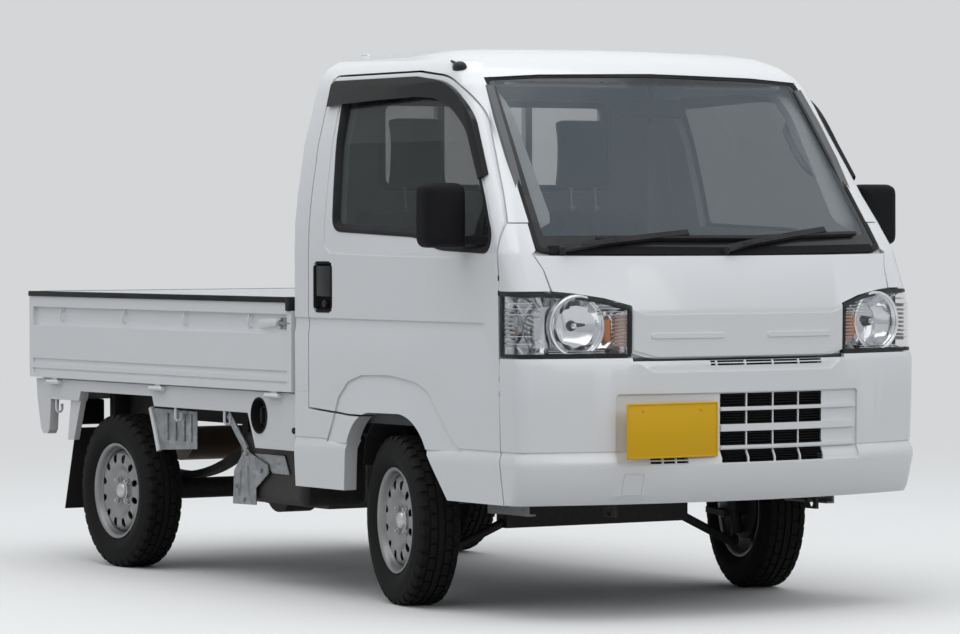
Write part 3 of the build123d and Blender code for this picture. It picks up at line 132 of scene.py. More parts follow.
class Shader:
    """Builds the nodes of one material, or of the sky."""

    def __init__(self, name: str, sky: bool = False) -> None:
        """Starts an empty material or sky.

        Args:
            name: Its name.
            sky: True for the sky.
        """
        self.owner = (bpy.data.worlds if sky else bpy.data.materials).new(name)
        self.owner.use_nodes = True
        self.output = "ShaderNodeOutputWorld" if sky else "ShaderNodeOutputMaterial"
        self.nodes = self.owner.node_tree.nodes
        self.nodes.clear()
        self.place = None if sky else self.node("ShaderNodeTexCoord", out="Object")

    def node(self, kind: str, settings: dict | None = None, sockets: dict | None = None,
             out: int | str = 0) -> Value:
        """Adds any node.

        Args:
            kind: The node's type.
            settings: Its settings, set first; "stops" holds a ramp's places and grey levels.
            sockets: Its inputs by name or number, as numbers, colours or values.
            out: The output that is wanted.

        Returns:
            That output.
        """
        node = self.nodes.new(kind)
        for key, setting in (settings or {}).items():
            if key == "stops":
                for number, (where, level) in enumerate(setting):
                    ramp = node.color_ramp.elements
                    stop = ramp[number] if number < len(ramp) else ramp.new(where)
                    stop.position = where
                    stop.color = (level, level, level, 1)
            else:
                setattr(node, key, setting)
        for key, given in (sockets or {}).items():
            if isinstance(given, Value):
                self.owner.node_tree.links.new(given.socket, node.inputs[key])
            elif isinstance(given, (tuple, list)) and len(given) == 3 and node.inputs[key].type == "RGBA":
                node.inputs[key].default_value = (*given, 1)
            else:
                node.inputs[key].default_value = given
        return Value(self, node.outputs[out])

    def along(self, axis: str) -> Value:
        """The place along X, Y or Z, in metres."""
        return self.node("ShaderNodeSeparateXYZ", sockets={0: self.place}, out=axis)

    def noise(self, scale: float, detail: float = 3.0, roughness: float = 0.5,
              stretch: tuple = (1, 1, 1)) -> Value:
        """Smooth noise.

        Args:
            scale: Its scale, per metre.
            detail: How many finer layers it has.
            roughness: How strong they are.
            stretch: How much finer it is along each axis.

        Returns:
            A value from 0 to 1.
        """
        place = self.place
        if stretch != (1, 1, 1):
            place = self.node("ShaderNodeMapping", sockets={"Vector": self.place, "Scale": stretch})
        return self.node("ShaderNodeTexNoise", sockets={
            "Vector": place, "Scale": scale, "Detail": detail, "Roughness": roughness})

    def ramp(self, value: Value, low: float, high: float) -> Value:
        """0 where the value is low, 1 where it is high."""
        return self.node("ShaderNodeMapRange", {"clamp": True}, {0: value, 1: low, 2: high})

    def mix(self, share: "Value | float", first: "Value | tuple", second: "Value | tuple") -> Value:
        """The first colour with a share of the second in it."""
        return self.node("ShaderNodeMix", {"data_type": "RGBA"}, {0: share, 6: first, 7: second}, out=2)

    def bump(self, height: Value, distance: float, strength: float = 1.0) -> Value:
        """A bumped normal; distance is the height's size in metres."""
        return self.node("ShaderNodeBump", sockets={
            "Height": height, "Distance": distance, "Strength": strength})

    def surface(self, **sockets: object) -> Value:
        """A Principled shader with these inputs, in words joined by underscores."""
        named = {key.replace("_", " "): given for key, given in sockets.items()}
        return self.node("ShaderNodeBsdfPrincipled", sockets=named)

    def ray(self, *kinds: str) -> Value:
        """1 for a ray of any of these kinds."""
        first, *others = (self.node("ShaderNodeLightPath", out=f"Is {kind} Ray") for kind in kinds)
        for other in others:
            first = first.upper(other)
        return first

    def close(self, surface: Value) -> bpy.types.ID:
        """Makes a surface the material's or the sky's own, and gives that."""
        output = self.nodes.new(self.output)
        self.owner.node_tree.links.new(surface.socket, output.inputs["Surface"])
        return self.owner


# Finishes

@dataclass(frozen=True)
class Finish:
    """What every finish has: a name, the record's slot that pieces in it belong to, and a material made once."""

    name: str
    slot: str = ""

    def material(self) -> bpy.types.Material:
        """The finish's material, built when it is first asked for."""
        made = bpy.data.materials.get(self.name)
        if made is None:
            shader = Shader(self.name)
            made = shader.close(self.look(shader))
        return made

    def look(self, shader: Shader) -> Value:
        """The surface that the material shows; each kind of finish has its own."""
        raise NotImplementedError


@dataclass(frozen=True)
class Paint(Finish):
    """Gloss body paint with road film low down and faint waviness."""

    colour: tuple = (0.80, 0.81, 0.82)
    film: tuple = (0.50, 0.47, 0.42)
    film_share: float = 0.07
    roughness: float = 0.22
    coat: float = 0.6

    def look(self, shader: Shader) -> Value:
        """Builds the paint.

        Args:
            shader: An empty shader.

        Returns:
            The surface.
        """
        low = shader.ramp(shader.along("Z"), 0.60, 0.25)
        patches = shader.noise(5.0, 5.0, 0.6)
        streaks = shader.noise(14.0, 3.0, 0.5, (1, 1, 0.15))
        film = low * shader.ramp(patches * streaks, 0.12, 0.42) * self.film_share
        tone = shader.ramp(shader.noise(1.3, 2.0), 0.2, 0.8) * 0.03 + film
        wave = shader.noise(160.0, 1.0) + shader.noise(4.0, 1.0) * 0.6
        return shader.surface(
            Base_Color=shader.mix(tone, self.colour, self.film),
            Roughness=self.roughness + film * 1.2,
            Coat_Weight=self.coat - film,
            Coat_Roughness=0.06,
            Normal=shader.bump(wave, 0.00035, 0.35))


@dataclass(frozen=True)
class Satin(Finish):
    """Satin paint or bare sheet metal with dust and scuffs."""

    colour: tuple = (0.02, 0.02, 0.02)
    dust: tuple = (0.16, 0.14, 0.12)
    dust_share: float = 0.35
    roughness: float = 0.5
    metallic: float = 0.0
    grain: float = 60.0
    relief: float = 0.0004

    def look(self, shader: Shader) -> Value:
        """Builds the finish.

        Args:
            shader: An empty shader.

        Returns:
            The surface.
        """
        cloud = shader.ramp(shader.noise(9.0, 5.0, 0.65), 0.35, 0.75)
        speck = shader.noise(self.grain, 4.0, 0.6)
        dust = (cloud * 0.8 + shader.ramp(speck, 0.5, 0.8) * 0.4) * self.dust_share
        return shader.surface(
            Base_Color=shader.mix(dust, self.colour, self.dust),
            Roughness=(self.roughness + dust * 0.5 + speck * 0.08).held(),
            Metallic=self.metallic - dust * self.metallic * 0.8,
            Specular_IOR_Level=0.35,
            Normal=shader.bump(speck, self.relief, 0.6))


@dataclass(frozen=True)
class Spangle(Finish):
    """Galvanised sheet with its crystal pattern."""

    colour: tuple = (0.26, 0.275, 0.29)
    pale: tuple = (0.40, 0.41, 0.42)

    def look(self, shader: Shader) -> Value:
        """Builds the finish.

        Args:
            shader: An empty shader.

        Returns:
            The surface.
        """
        crystals = shader.node("ShaderNodeTexVoronoi", sockets={"Vector": shader.place, "Scale": 55.0}, out="Color")
        grey = shader.node("ShaderNodeSeparateColor", sockets={0: crystals})
        dirt = shader.ramp(shader.noise(12.0, 5.0, 0.65), 0.45, 0.75)
        return shader.surface(
            Base_Color=shader.mix(dirt * 0.5, shader.mix(grey, self.colour, self.pale), (0.2, 0.18, 0.16)),
            Roughness=0.38 + grey * 0.14 + dirt * 0.25,
            Metallic=0.7 - dirt * 0.5,
            Normal=shader.bump(shader.noise(140.0, 2.0), 0.0002, 0.5))


@dataclass(frozen=True)
class Moulded(Finish):
    """Grained plastic or rubber."""

    slot: str = "black_plastic"
    colour: tuple = (0.02, 0.02, 0.022)
    worn: tuple = (0.06, 0.06, 0.062)
    roughness: float = 0.5
    grain: float = 450.0
    relief: float = 0.00025

    def look(self, shader: Shader) -> Value:
        """Builds the finish.

        Args:
            shader: An empty shader.

        Returns:
            The surface.
        """
        leather = shader.node("ShaderNodeTexVoronoi", {"feature": "SMOOTH_F1"},
                              {"Vector": shader.place, "Scale": self.grain}, out="Distance")
        fade = shader.ramp(shader.noise(7.0, 4.0, 0.6), 0.35, 0.8)
        return shader.surface(
            Base_Color=shader.mix(fade * 0.5, self.colour, self.worn),
            Roughness=(self.roughness + fade * 0.12 + leather * 0.1).held(),
            Specular_IOR_Level=0.18,
            Normal=shader.bump(leather, self.relief, 0.5))


@dataclass(frozen=True)
class Chrome(Finish):
    """Bright plated or vapour-coated reflector."""

    colour: tuple = (0.90, 0.91, 0.92)
    roughness: float = 0.07

    def look(self, shader: Shader) -> Value:
        """Builds the finish.

        Args:
            shader: An empty shader.

        Returns:
            The surface.
        """
        smear = shader.noise(40.0, 3.0)
        return shader.surface(
            Base_Color=shader.mix(smear * 0.3, self.colour, (0.74, 0.75, 0.77)),
            Roughness=self.roughness + smear * 0.05,
            Metallic=1.0,
            Normal=shader.bump(smear * 0.3, 0.0002, 0.5))


@dataclass(frozen=True)
class Glazing(Finish):
    """Thin clear or smoked sheet, with faint dust."""

    tint: tuple = (0.05, 0.07, 0.07)
    cover: float = 0.3
    roughness: float = 0.03
    dust: float = 0.08
    ior: float = 1.5

    def look(self, shader: Shader) -> Value:
        """Builds the sheet's surface.

        Args:
            shader: An empty shader.

        Returns:
            The surface.
        """
        film = shader.ramp(shader.noise(3.0, 5.0, 0.6), 0.35, 0.8)
        return shader.surface(
            Base_Color=shader.mix(film * self.dust, self.tint, (0.5, 0.5, 0.48)),
            Roughness=self.roughness + film * 0.03,
            IOR=self.ior,
            Alpha=film * self.dust * 0.3 + self.cover)


@dataclass(frozen=True)
class Windscreen(Glazing):
    """Glass with a black printed band round its edge."""

    half_low: float = 0.638
    half_high: float = 0.585
    low: float = 1.0965
    high: float = 1.641
    band_low: float = 0.052
    band_high: float = 0.020
    band_side: float = 0.033

    def look(self, shader: Shader) -> Value:
        """Builds the glass and its band.

        Args:
            shader: An empty shader.

        Returns:
            The surface.
        """
        high = shader.along("Z")
        across = abs(shader.along("Y"))
        lean = (self.half_low - self.half_high) / (self.high - self.low)
        edge = (self.half_low + self.low * lean) - high * lean
        side = edge - across
        inside = (side > self.band_side) * (high > self.low + self.band_low) * (high < self.high - self.band_high)
        clear = shader.ramp(inside, 0.0, 1.0)
        glass = super().look(shader)
        print_black = shader.surface(
            Base_Color=shader.mix(shader.noise(30.0), (0.012, 0.013, 0.015), (0.03, 0.03, 0.032)),
            Roughness=0.12 + shader.noise(20.0) * 0.05, IOR=1.5)
        return shader.node("ShaderNodeMixShader", sockets={0: clear, 1: print_black, 2: glass})


@dataclass(frozen=True)
class Lens(Finish):
    """Coloured lamp plastic with moulded ribs."""

    colour: tuple = (0.5, 0.01, 0.01)
    cover: float = 1.0
    ribs: float = 60.0
    direction: str = "Z"

    def look(self, shader: Shader) -> Value:
        """Builds the finish.

        Args:
            shader: An empty shader.

        Returns:
            The surface.
        """
        wave = shader.node("ShaderNodeTexWave", {"bands_direction": self.direction}, {
            "Vector": shader.place, "Scale": self.ribs, "Distortion": 0.0})
        dark = tuple(part * 0.55 for part in self.colour)
        return shader.surface(
            Base_Color=shader.mix(wave * 0.6, self.colour, dark),
            Roughness=0.08 + shader.noise(30.0) * 0.06,
            IOR=1.49,
            Alpha=self.cover,
            Coat_Weight=0.5,
            Normal=shader.bump(wave, 0.001, 0.5))


@dataclass(frozen=True)
class Cloth(Finish):
    """Woven or embossed seat cover."""

    colour: tuple = (0.035, 0.036, 0.04)
    thread: tuple = (0.075, 0.077, 0.082)
    pitch: float = 260.0

    def look(self, shader: Shader) -> Value:
        """Builds the weave.

        Args:
            shader: An empty shader.

        Returns:
            The surface.
        """
        waves = [shader.node("ShaderNodeTexWave", {"bands_direction": axis}, {
            "Vector": shader.place, "Scale": self.pitch * 0.5, "Distortion": 0.6, "Detail Scale": 6.0})
            for axis in ("Y", "Z")]
        weave = waves[0] * waves[1]
        fade = shader.ramp(shader.noise(6.0, 4.0), 0.3, 0.8)
        return shader.surface(
            Base_Color=shader.mix((weave * 0.7 + fade * 0.4).held(), self.colour, self.thread),
            Roughness=0.85 - weave * 0.12,
            Sheen_Weight=0.2,
            Normal=shader.bump(weave, 0.0006, 0.7))


@dataclass(frozen=True)
class Ground(Finish):
    """The studio's pale floor, which still takes the truck's shadow."""

    colour: tuple = (0.80, 0.80, 0.79)
    glow: tuple = (0.66, 0.67, 0.68)
    bounce: tuple = (0.28, 0.28, 0.28)

    def look(self, shader: Shader) -> Value:
        """Builds the floor's finish.

        Args:
            shader: An empty shader.

        Returns:
            The surface.
        """
        speck = shader.noise(220.0, 4.0, 0.7)
        shown = shader.ray("Camera", "Glossy", "Transmission")
        floor = shader.surface(
            Base_Color=shader.mix(shown, self.bounce, shader.mix(speck * 0.12, self.colour, (0.62, 0.62, 0.61))),
            Roughness=0.8 + speck * 0.1,
            Normal=shader.bump(speck, 0.0005, 0.3))
        x, y = shader.along("X"), shader.along("Y")
        far = shader.ramp(x * x + y * y, 16.0, 120.0) * shader.ray("Camera")
        glow = shader.node("ShaderNodeEmission", sockets={"Color": self.glow, "Strength": 1.0})
        return shader.node("ShaderNodeMixShader", sockets={0: far, 1: floor, 2: glow})


WHITE = Paint("body_white", "body_paint")
BED_WHITE = Paint("bed_white", "body_paint", colour=(0.74, 0.745, 0.75), film_share=0.2, roughness=0.34,
                  coat=0.3)
BLACK_STEEL = Satin("chassis_black_paint", "cast_grey")
BRACKET_GREY = Satin("bracket_grey", "cast_grey", colour=(0.36, 0.37, 0.38), metallic=0.3)
DARK_CAST = Satin("dark_casting", "lamp_silver", colour=(0.10, 0.10, 0.10), metallic=0.4, grain=120.0)
RUSTED = Satin("rusted_steel", colour=(0.09, 0.075, 0.065), dust=(0.20, 0.11, 0.06), metallic=0.3,
               dust_share=0.6)
WHEEL_SILVER = Satin("wheel_silver_paint", "wheel_silver", colour=(0.30, 0.305, 0.31), dust=(0.15, 0.14, 0.125),
                     dust_share=0.18, roughness=0.32, metallic=0.85, grain=300.0, relief=0.0001)
BRIGHT_STEEL = Satin("bright_steel", "wheel_silver", colour=(0.56, 0.56, 0.56), metallic=0.95, roughness=0.28,
                     dust_share=0.15)
GALVANISED = Spangle("galvanised_sheet", "chassis_black")
BLACK_PLASTIC = Moulded("black_grained_plastic", colour=(0.004, 0.004, 0.005), worn=(0.011, 0.011, 0.012),
                        roughness=0.58)
GLOSS_BLACK = Moulded("gloss_black", roughness=0.2, relief=0.00003)
SEAL = Moulded("black_rubber_seal", colour=(0.012, 0.012, 0.013), roughness=0.55, grain=900.0)
TYRE_RUBBER = Moulded("tyre_rubber", "tyre", colour=(0.010, 0.010, 0.010), worn=(0.028, 0.027, 0.025),
                      roughness=0.75, grain=380.0, relief=0.0004)
CABIN_GREY = Moulded("cabin_dark_grey", "cabin_plastic", colour=(0.055, 0.057, 0.06), worn=(0.085, 0.087, 0.09),
                     roughness=0.6)
# Pale grey for the roof liner and back-wall trim: partly their own grey, and partly a lighter colour that stands for
# the windscreen's reflection over the cabin, which is painted reflection.
LINER_GREY_AND_GLARE = Moulded("roof_liner_grey_and_painted_glare", "cabin_plastic", colour=(0.30, 0.31, 0.32), worn=(0.36, 0.37, 0.38),
                     roughness=0.85, grain=900.0, relief=0.00008)
REFLECTOR = Chrome("lamp_reflector", "lamp_silver", colour=(0.68, 0.69, 0.71))
LAMP_RING = Satin("lamp_ring_silver", "lamp_silver", colour=(0.75, 0.76, 0.77), metallic=0.9, roughness=0.2,
                  dust_share=0.05)
MIRROR_GLASS = Chrome("mirror_glass", "lamp_silver", roughness=0.02)
SIDE_GLASS = Glazing("side_window_glass", tint=(0.02, 0.03, 0.03), cover=0.55, dust=0.04)
BACK_GLASS = Glazing("rear_window_glass", cover=0.16)
SCREEN_GLASS = Windscreen("windscreen_glass", tint=(0.14, 0.17, 0.19), cover=0.34, dust=0.05)
CLEAR_LENS = Glazing("clear_lamp_lens", tint=(0.35, 0.37, 0.38), cover=0.05, dust=0.04)
SMOKED = Glazing("smoked_visor", "black_plastic", tint=(0.010, 0.010, 0.011), cover=0.97, roughness=0.07,
                 dust=0.01, ior=1.33)
AMBER = Lens("amber_lens", "lamp_red", colour=(0.75, 0.20, 0.02), ribs=90.0)
RED = Lens("red_lens", "lamp_red", colour=(0.45, 0.01, 0.012))
TURN_COVER = Lens("turn_cover_plastic", "lamp_silver", colour=(0.72, 0.46, 0.34), cover=0.75, ribs=70.0)
MARKER_BULB = Lens("marker_bulb_glass", "lamp_silver", colour=(0.42, 0.22, 0.16), cover=0.9)
CLEAR_RIBBED = Lens("clear_ribbed_lens", "lamp_silver", colour=(0.6, 0.62, 0.63), cover=0.65, ribs=70.0,
                    direction="Y")
SEAT_CLOTH = Cloth("seat_cover", "seat_fabric")
SEAT_SIDE = Moulded("seat_side_vinyl", "seat_fabric", colour=(0.028, 0.029, 0.032), worn=(0.06, 0.06, 0.064),
                    roughness=0.45, grain=500.0, relief=0.0004)
FLAP_RUBBER = Moulded("flap_rubber", colour=(0.016, 0.016, 0.016), worn=(0.05, 0.045, 0.04), roughness=0.7)
HANDLE_GREY = Moulded("grab_handle_grey", "cabin_plastic", colour=(0.36, 0.38, 0.39), worn=(0.44, 0.46, 0.47),
                      roughness=0.5)
DOOR_CARD = Moulded("door_panel_grey", "cabin_plastic", colour=(0.15, 0.155, 0.16), worn=(0.19, 0.195, 0.20),
                    roughness=0.65, grain=900.0, relief=0.0001)
VISOR_GREY = Moulded("sun_visor_grey", "cabin_plastic", colour=(0.33, 0.34, 0.35), worn=(0.38, 0.39, 0.40),
                     roughness=0.8)
PLATE_YELLOW = Satin("plate_yellow_enamel", "plate_yellow", colour=(0.76, 0.44, 0.004), dust=(0.42, 0.28, 0.05),
                     dust_share=0.05, roughness=0.42, relief=0.0001)
FLOOR = Ground("studio_floor")


# Mesh making

class Form:
    """A mesh being made, in millimetres, with X counted forward from the front axle."""

    parallel: ClassVar[float] = 0.98
    merge: ClassVar[float] = 0.01

    def __init__(self) -> None:
        """Starts an empty mesh."""
        self.bm = bmesh.new()

    def read(self, *nodes: str) -> None:
        """Adds some CAD nodes' meshes.

        Args:
            nodes: The nodes' names.
        """
        for node in nodes:
            self.bm.from_mesh(frame["nodes"][node].data)
        bmesh.ops.translate(self.bm, vec=(-FRONT_AXLE, 0, 0), verts=self.bm.verts[:])
        bmesh.ops.scale(self.bm, vec=(PER_METRE, PER_METRE, PER_METRE), verts=self.bm.verts[:])

    def round(self, verts: Iterable[bmesh.types.BMVert], width: float, segments: int = 2,
              angle: float = 25.0) -> None:
        """Rounds the sharp edges between some vertices.

        Args:
            verts: The vertices whose edges are looked at.
            width: The rounding's width.
            segments: How many steps it has.
            angle: Edges that turn less than this, in degrees, stay.
        """
        chosen = set(verts)
        edges = {edge for vert in chosen for edge in vert.link_edges
                 if edge.other_vert(vert) in chosen and edge.calc_face_angle(0.0) > math.radians(angle)}
        bmesh.ops.bevel(self.bm, geom=list(edges), offset=width, segments=segments, profile=0.5,
                        affect="EDGES", material=-1, clamp_overlap=True)

    def box(self, x: Place, y: Place, z: Place, bevel: float = 0.0, segments: int = 2,
            turn: Matrix | None = None) -> None:
        """A box between two places along each axis.

        Args:
            x: Its two X places.
            y: Its two Y places.
            z: Its two Z places.
            bevel: The rounding of its edges.
            segments: How many steps the rounding has.
            turn: A turn about the box's own middle.
        """
        size = Vector((abs(x[1] - x[0]), abs(y[1] - y[0]), abs(z[1] - z[0])))
        middle = Vector(((x[0] + x[1]) / 2, (y[0] + y[1]) / 2, (z[0] + z[1]) / 2))
        made = bmesh.ops.create_cube(self.bm, size=1.0)["verts"]
        bmesh.ops.scale(self.bm, vec=size, verts=made)
        bmesh.ops.transform(self.bm, matrix=Matrix.Translation(middle) @ (turn or Matrix()), verts=made)
        if bevel:
            self.round(made, bevel, segments)

    def rod(self, start: Place, end: Place, radius: float, end_radius: float | None = None,
            segments: int = 16, bevel: float = 0.0) -> None:
        """A round bar between two places.

        Args:
            start: Where it starts.
            end: Where it ends.
            radius: Its radius at the start.
            end_radius: Its radius at the end, if that differs.
            segments: How many sides it has.
            bevel: The rounding of its rims.
        """
        first, last = Vector(start), Vector(end)
        along = last - first
        place = Matrix.Translation((first + last) / 2) @ along.to_track_quat("Z", "Y").to_matrix().to_4x4()
        made = bmesh.ops.create_cone(self.bm, cap_ends=True, segments=segments, radius1=radius,
                                     radius2=radius if end_radius is None else end_radius,
                                     depth=along.length, matrix=place)["verts"]
        if bevel:
            self.round(made, bevel, angle=50.0)

    def plate(self, outline: Sequence[Place], depth: Place, bevel: float = 0.0, segments: int = 2) -> None:
        """A flat outline given thickness.

        Args:
            outline: Its corners in order.
            depth: How far and which way it is run.
            bevel: The rounding of its edges.
            segments: How many steps the rounding has.
        """
        verts = [self.bm.verts.new(Vector(point)) for point in outline]
        face = self.bm.faces.new(verts)
        moved = verts_in(bmesh.ops.extrude_face_region(self.bm, geom=[face])["geom"])
        bmesh.ops.translate(self.bm, vec=Vector(depth), verts=moved)
        verts += moved
        bmesh.ops.recalc_face_normals(self.bm, faces=list({face for vert in verts for face in vert.link_faces}))
        if bevel:
            self.round(verts, bevel, segments)

    def sweep(self, path: Sequence[Place], section: Sequence[tuple], ups: Place | Sequence[Place] = (0, 0, 1),
              closed: bool = False) -> None:
        """Runs a flat section along a path.

        Args:
            path: The places that it passes.
            section: The section's corners, as sideways and upward distances.
            ups: The upward direction, or one for each place.
            closed: True if the path joins its own start.
        """
        points = [Vector(point) for point in path]
        count = len(points)
        if isinstance(ups[0], (int, float)):
            ups = [ups] * count
        frames = []
        for number, point in enumerate(points):
            ahead = points[(number + 1) % count] if closed or number < count - 1 else point
            behind = points[number - 1] if closed or number else point
            along = (ahead - behind).normalized()
            up = Vector(ups[number])
            if abs(along.dot(up.normalized())) > self.parallel:
                up = Vector((1, 0, 0))
            side = along.cross(up).normalized()
            up = side.cross(along).normalized()
            frames.append(standing(point, side, up, along))
        ring = [self.bm.verts.new(frames[0] @ Vector((across, high, 0))) for across, high in section]
        edges = [self.bm.edges.new((ring[n - 1], ring[n])) for n in range(len(ring))]
        first = list(edges)
        steps = frames[1:] + ([frames[0]] if closed else [])
        before = frames[0]
        for place in steps:
            made = bmesh.ops.extrude_edge_only(self.bm, edges=edges)["geom"]
            edges = [part for part in made if isinstance(part, bmesh.types.BMEdge)]
            bmesh.ops.transform(self.bm, matrix=place @ before.inverted(), verts=verts_in(made))
            before = place
        if not closed:
            bmesh.ops.contextual_create(self.bm, geom=first)
            bmesh.ops.contextual_create(self.bm, geom=edges)

    def lathe(self, profile: Sequence[tuple], place: Matrix, steps: int = 48) -> list:
        """Turns a profile about a place's own Z.

        Args:
            profile: Radius and height pairs.
            place: Where the axis stands.
            steps: How many steps the turn has.

        Returns:
            The new faces.
        """
        verts = [self.bm.verts.new(place @ Vector((radius, 0, height))) for radius, height in profile]
        edges = [self.bm.edges.new(pair) for pair in zip(verts, verts[1:])]
        before = set(self.bm.faces)
        bmesh.ops.spin(self.bm, geom=verts + edges, cent=place.translation, axis=place.col[2].xyz,
                       angle=math.tau, steps=steps, use_merge=True, use_duplicate=False)
        return [face for face in self.bm.faces if face not in before]

    def bands(self, loops: Sequence[Sequence[Place]], closed: bool = True, first_cap: bool = False,
              last_cap: bool = False) -> None:
        """Joins rows of places, one after another, into a wall.

        Args:
            loops: The rows, each with as many places as the next.
            closed: True where each row is a ring.
            first_cap: True to fill the first ring.
            last_cap: True to fill the last ring.
        """
        rows = []
        for loop in loops:
            verts = [self.bm.verts.new(Vector(place)) for place in loop]
            rows.append([self.bm.edges.new((verts[n - 1], verts[n])) for n in range(0 if closed else 1, len(verts))])
        for first, last in zip(rows, rows[1:]):
            bmesh.ops.bridge_loops(self.bm, edges=first + last)
        for wanted, row in ((first_cap, rows[0]), (last_cap, rows[-1])):
            if wanted:
                bmesh.ops.triangle_fill(self.bm, edges=row, use_beauty=True)

    def mirror(self) -> None:
        """Adds the same shapes on the truck's other side."""
        made = bmesh.ops.duplicate(self.bm, geom=self.bm.verts[:] + self.bm.edges[:] + self.bm.faces[:])["geom"]
        faces = [part for part in made if isinstance(part, bmesh.types.BMFace)]
        bmesh.ops.scale(self.bm, vec=(1, -1, 1), verts=verts_in(made))
        bmesh.ops.reverse_faces(self.bm, faces=faces)

    def flip_side(self, sign: int) -> None:
        """Puts shapes made on the left side onto the right one where the sign is -1."""
        if sign < 0:
            bmesh.ops.scale(self.bm, vec=(1, -1, 1), verts=self.bm.verts[:])
            bmesh.ops.reverse_faces(self.bm, faces=self.bm.faces[:])

    def close_up(self) -> None:
        """Merges doubles and turns the faces outwards."""
        bmesh.ops.remove_doubles(self.bm, verts=self.bm.verts[:], dist=self.merge)
        bmesh.ops.recalc_face_normals(self.bm, faces=self.bm.faces[:])

    def piece(self, name: str, finish: Finish, body: str = "truck", slot: str = "", replaces: Sequence[str] = (),
              smooth: float = 35.0, subdivide: int = 0, tidy: bool = True) -> bpy.types.Object:
        """Turns the mesh into a finished piece of the truck.

        Args:
            name: The piece's name.
            finish: What it is dressed in.
            body: The body that it rides on.
            slot: Not used.
            replaces: CAD nodes that it stands for.
            smooth: Edges that turn more than this, in degrees, look sharp.
            subdivide: Levels of a Subdivision Surface.
            tidy: True to merge doubles and turn the faces outwards.

        Returns:
            The piece.
        """
        if tidy:
            self.close_up()
        bmesh.ops.scale(self.bm, vec=(MM, MM, MM), verts=self.bm.verts[:])
        bmesh.ops.translate(self.bm, vec=(FRONT_AXLE, 0, 0), verts=self.bm.verts[:])
        for face in self.bm.faces:
            face.smooth = True
        for edge in self.bm.edges:
            edge.smooth = edge.calc_face_angle(0.0) < math.radians(smooth)
        mesh = bpy.data.meshes.new(name)
        self.bm.to_mesh(mesh)
        self.bm.free()
        made = bpy.data.objects.new(name, mesh)
        bpy.context.scene.collection.objects.link(made)
        mesh.materials.append(finish.material())
        if subdivide:
            surface = made.modifiers.new("subdivision", "SUBSURF")
            surface.levels = surface.render_levels = subdivide
        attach(made, body)
        if replaces:
            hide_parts(*replaces)
        LOG.info("%s on %s, %d faces", name, body, len(mesh.polygons))
        return made


class Surface:
    """The outer faces of some CAD nodes, for laying pieces on."""

    tries: ClassVar[tuple] = ((0, 0, 0), (0, 0, 7), (0, 0, -7), (5, 7, 0), (-5, -7, 0), (0, 0, 14), (0, 0, -14),
                              (12, 14, 0), (-12, -14, 0), (0, 0, 25), (0, 0, -25))
    outside: ClassVar[float] = 1200.0

    def __init__(self, *nodes: str) -> None:
        """Reads the nodes' meshes.

        Args:
            nodes: The CAD nodes.
        """
        gathered = Form()
        gathered.read(*nodes)
        self.tree = BVHTree.FromBMesh(gathered.bm)
        gathered.bm.free()

    def drop(self, start: Place, direction: Place) -> tuple[Vector, Vector]:
        """Finds where a straight line meets the nodes.

        Args:
            start: Where the line starts.
            direction: Which way it runs.

        Returns:
            The place, and the face's normal there, turned back along the line.
        """
        way = Vector(direction)
        for shift in self.tries:
            place, normal, _, _ = self.tree.ray_cast(Vector(start) + Vector(shift), way)
            if place is not None:
                return place - Vector(shift), -normal if normal.dot(way) > 0 else normal
        place, normal, _, _ = self.tree.find_nearest(Vector(start))
        return place, -normal if normal.dot(way) > 0 else normal

    def front(self, y: float, z: float) -> tuple[Vector, Vector]:
        """The front face at a place seen from ahead."""
        return self.drop((self.outside, y, z), (-1, 0, 0))

    def flank(self, x: float, z: float, sign: int) -> tuple[Vector, Vector]:
        """The side face at a place seen from the side."""
        return self.drop((x, sign * self.outside, z), (0, -sign, 0))

    def laid(self, flat: Iterable[Place], proud: float = 0.0, sign: int = 0) -> tuple[list, list]:
        """Lays a flat line on the faces.

        Args:
            flat: Its places, as Y and Z seen from ahead or as X and Z seen from the side.
            proud: How far it stands off the faces.
            sign: 0 from ahead, 1 from the left or -1 from the right.

        Returns:
            The places and the normals there.
        """
        spots = [self.flank(p[0], p[1], sign) if sign else self.front(p[0], p[1]) for p in flat]
        return [spot + normal * proud for spot, normal in spots], [normal for _, normal in spots]


@dataclass
class Sided:
    """A part that both sides have: it is made on the left, and flipped for the right."""

    side: str
    sign: int
    body: ClassVar[str] = "truck"

    def finish(self, form: Form, name: str, finish: Finish, slot: str = "", replaces: Sequence[str] = (),
               smooth: float = 35.0) -> None:
        """Turns one shape into this side's piece; Form.piece says what each word means."""
        form.flip_side(self.sign)
        form.piece(f"{name}_{self.side}", finish, self.body.format(side=self.side), slot, replaces, smooth)


def spaced(points: Sequence[Place], gap: float, closed: bool = False) -> list[Vector]:
    """Divides an outline's runs so that a strip can follow a curved face.

    Args:
        points: The outline's corners, flat.
        gap: The largest step.
        closed: True to run back to the start.

    Returns:
        The corners with places between them.
    """
    corners = [Vector(point) for point in points]
    pairs = list(zip(corners, corners[1:] + (corners[:1] if closed else [])))
    made = []
    for first, last in pairs:
        steps = max(1, round((last - first).length / gap))
        made += [first.lerp(last, step / steps) for step in range(steps)]
    return made if closed else made + [corners[-1]]


def rounded(points: Sequence[Place], radius: float, steps: int = 4) -> list[Vector]:
    """Rounds the corners of a closed flat outline.

    Args:
        points: The outline's corners.
        radius: How far from each corner the rounding starts.
        steps: How many steps a corner gets.

    Returns:
        The rounded outline.
    """
    corners = [Vector(point) for point in points]
    made = []
    for number, here in enumerate(corners):
        back = corners[number - 1] - here
        on = corners[(number + 1) % len(corners)] - here
        reach = min(radius, back.length / 2.05, on.length / 2.05)
        start, end = here + back.normalized() * reach, here + on.normalized() * reach
        for step in range(steps + 1):
            share = step / steps
            made.append(start.lerp(here, share).lerp(here.lerp(end, share), share))
    return made


